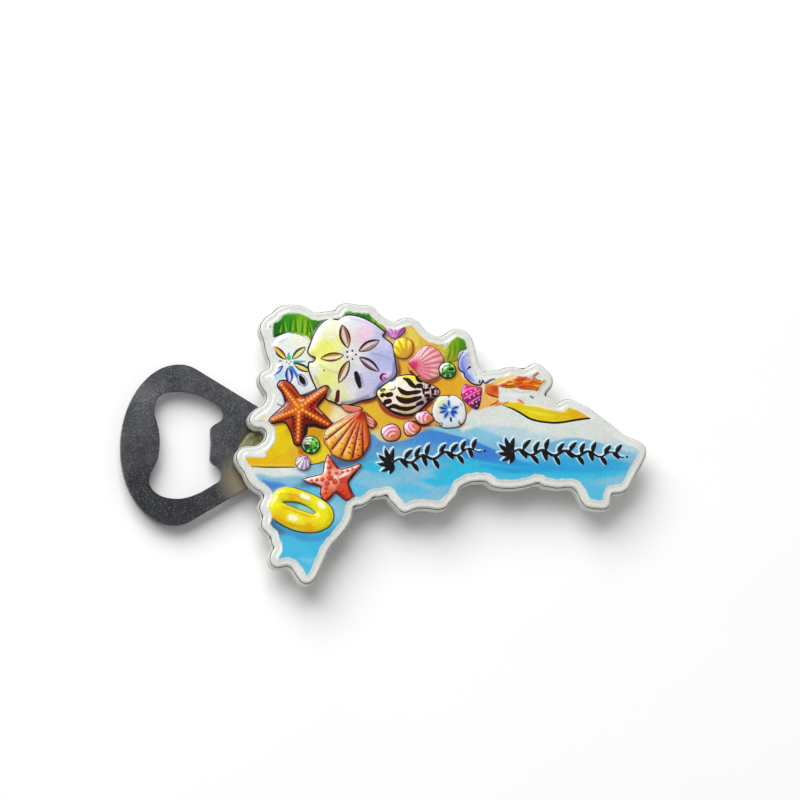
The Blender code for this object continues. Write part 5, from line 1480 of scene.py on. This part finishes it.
piece("printed_film", printed_mesh(drawn_sheet()), foil_finish(), "printed_face")
piece("board_body", board_mesh(), board_finish(), "board")
piece("glue_bead", glue_mesh(), glue_finish("glue_olive", (124, 122, 72), (86, 85, 40), 0.42, 1.3),
      "plate_adhesive")
paint_node("opener_plate", steel_finish())
paint_node("face_adhesive", glue_finish("face_bond", (196, 190, 166), (176, 168, 140), 0.4, 2.4))
CLEAR_GLUE = glue_finish("magnet_glue", (150, 144, 116), (120, 112, 84), 0.22, 1.2)
FERRITE = ferrite_finish()
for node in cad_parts:
    if node.startswith("magnet_adhesive"):
        paint_node(node, CLEAR_GLUE)
    elif node.startswith("magnet"):
        paint_node(node, FERRITE)


# ---------------------------------------------------------------- studio

scene = bpy.context.scene
scene.view_settings.view_transform = "Standard"

VIEW_BACK = Vector((-0.19, -0.19, 0.963)).normalized()
VIEW_TURN = Vector((0, 0, 1)).rotation_difference(VIEW_BACK)
VIEW_DISTANCE = 2.4
VIEW_WIDTH = 0.2105
SENSOR_WIDTH = 36
CLIP_END = 10
AIM_HEIGHT = 0.010
AIM_RIGHT = 0.003158
AIM_UP = 0.01158
FLOOR_HALF = 3.0

LIGHT_DISTANCE = 2.2
KEY_FROM = Vector((-0.40, 0.62, 0.84)).normalized()
KEY_SIZE = 1.9
KEY_POWER = 56.5
WORLD_GLOW = 0.36


def add_floor():
    mesh = bpy.data.meshes.new("studio_floor")
    corners = frame_of(-FLOOR_HALF, -FLOOR_HALF, FLOOR_HALF, FLOOR_HALF)
    mesh.from_pydata([(x, y, 0) for x, y in corners], [], [(0, 1, 2, 3)])
    mesh.materials.append(floor_finish())
    floor = bpy.data.objects.new("studio_floor", mesh)
    scene.collection.objects.link(floor)


def add_light(name, direction, size, power):
    data = bpy.data.lights.new(name, "AREA")
    data.shape = "SQUARE"
    data.size = size
    data.energy = power
    lamp = bpy.data.objects.new(name, data)
    lamp.location = direction * LIGHT_DISTANCE
    lamp.rotation_mode = "QUATERNION"
    lamp.rotation_quaternion = direction.to_track_quat("Z", "Y")
    scene.collection.objects.link(lamp)


def add_world():
    world = bpy.data.worlds.new("studio_world")
    world.use_nodes = True
    background = world.node_tree.nodes["Background"]
    background.inputs["Color"].default_value = (1, 1, 1, 1)
    background.inputs["Strength"].default_value = WORLD_GLOW
    scene.world = world


def add_camera():
    data = bpy.data.cameras.new("camera")
    data.sensor_width = SENSOR_WIDTH
    data.lens = SENSOR_WIDTH * VIEW_DISTANCE / VIEW_WIDTH
    data.clip_end = CLIP_END
    camera = bpy.data.objects.new("camera", data)
    aim = Vector((*(DRAWING_ORIGIN * MM), AIM_HEIGHT))
    camera.location = (aim + VIEW_BACK * VIEW_DISTANCE + VIEW_TURN @ Vector((1, 0, 0)) * AIM_RIGHT
                       + VIEW_TURN @ Vector((0, 1, 0)) * AIM_UP)
    camera.rotation_mode = "QUATERNION"
    camera.rotation_quaternion = VIEW_TURN
    scene.collection.objects.link(camera)
    scene.camera = camera


add_floor()
add_world()
add_light("key_light", KEY_FROM, KEY_SIZE, KEY_POWER)
add_camera()
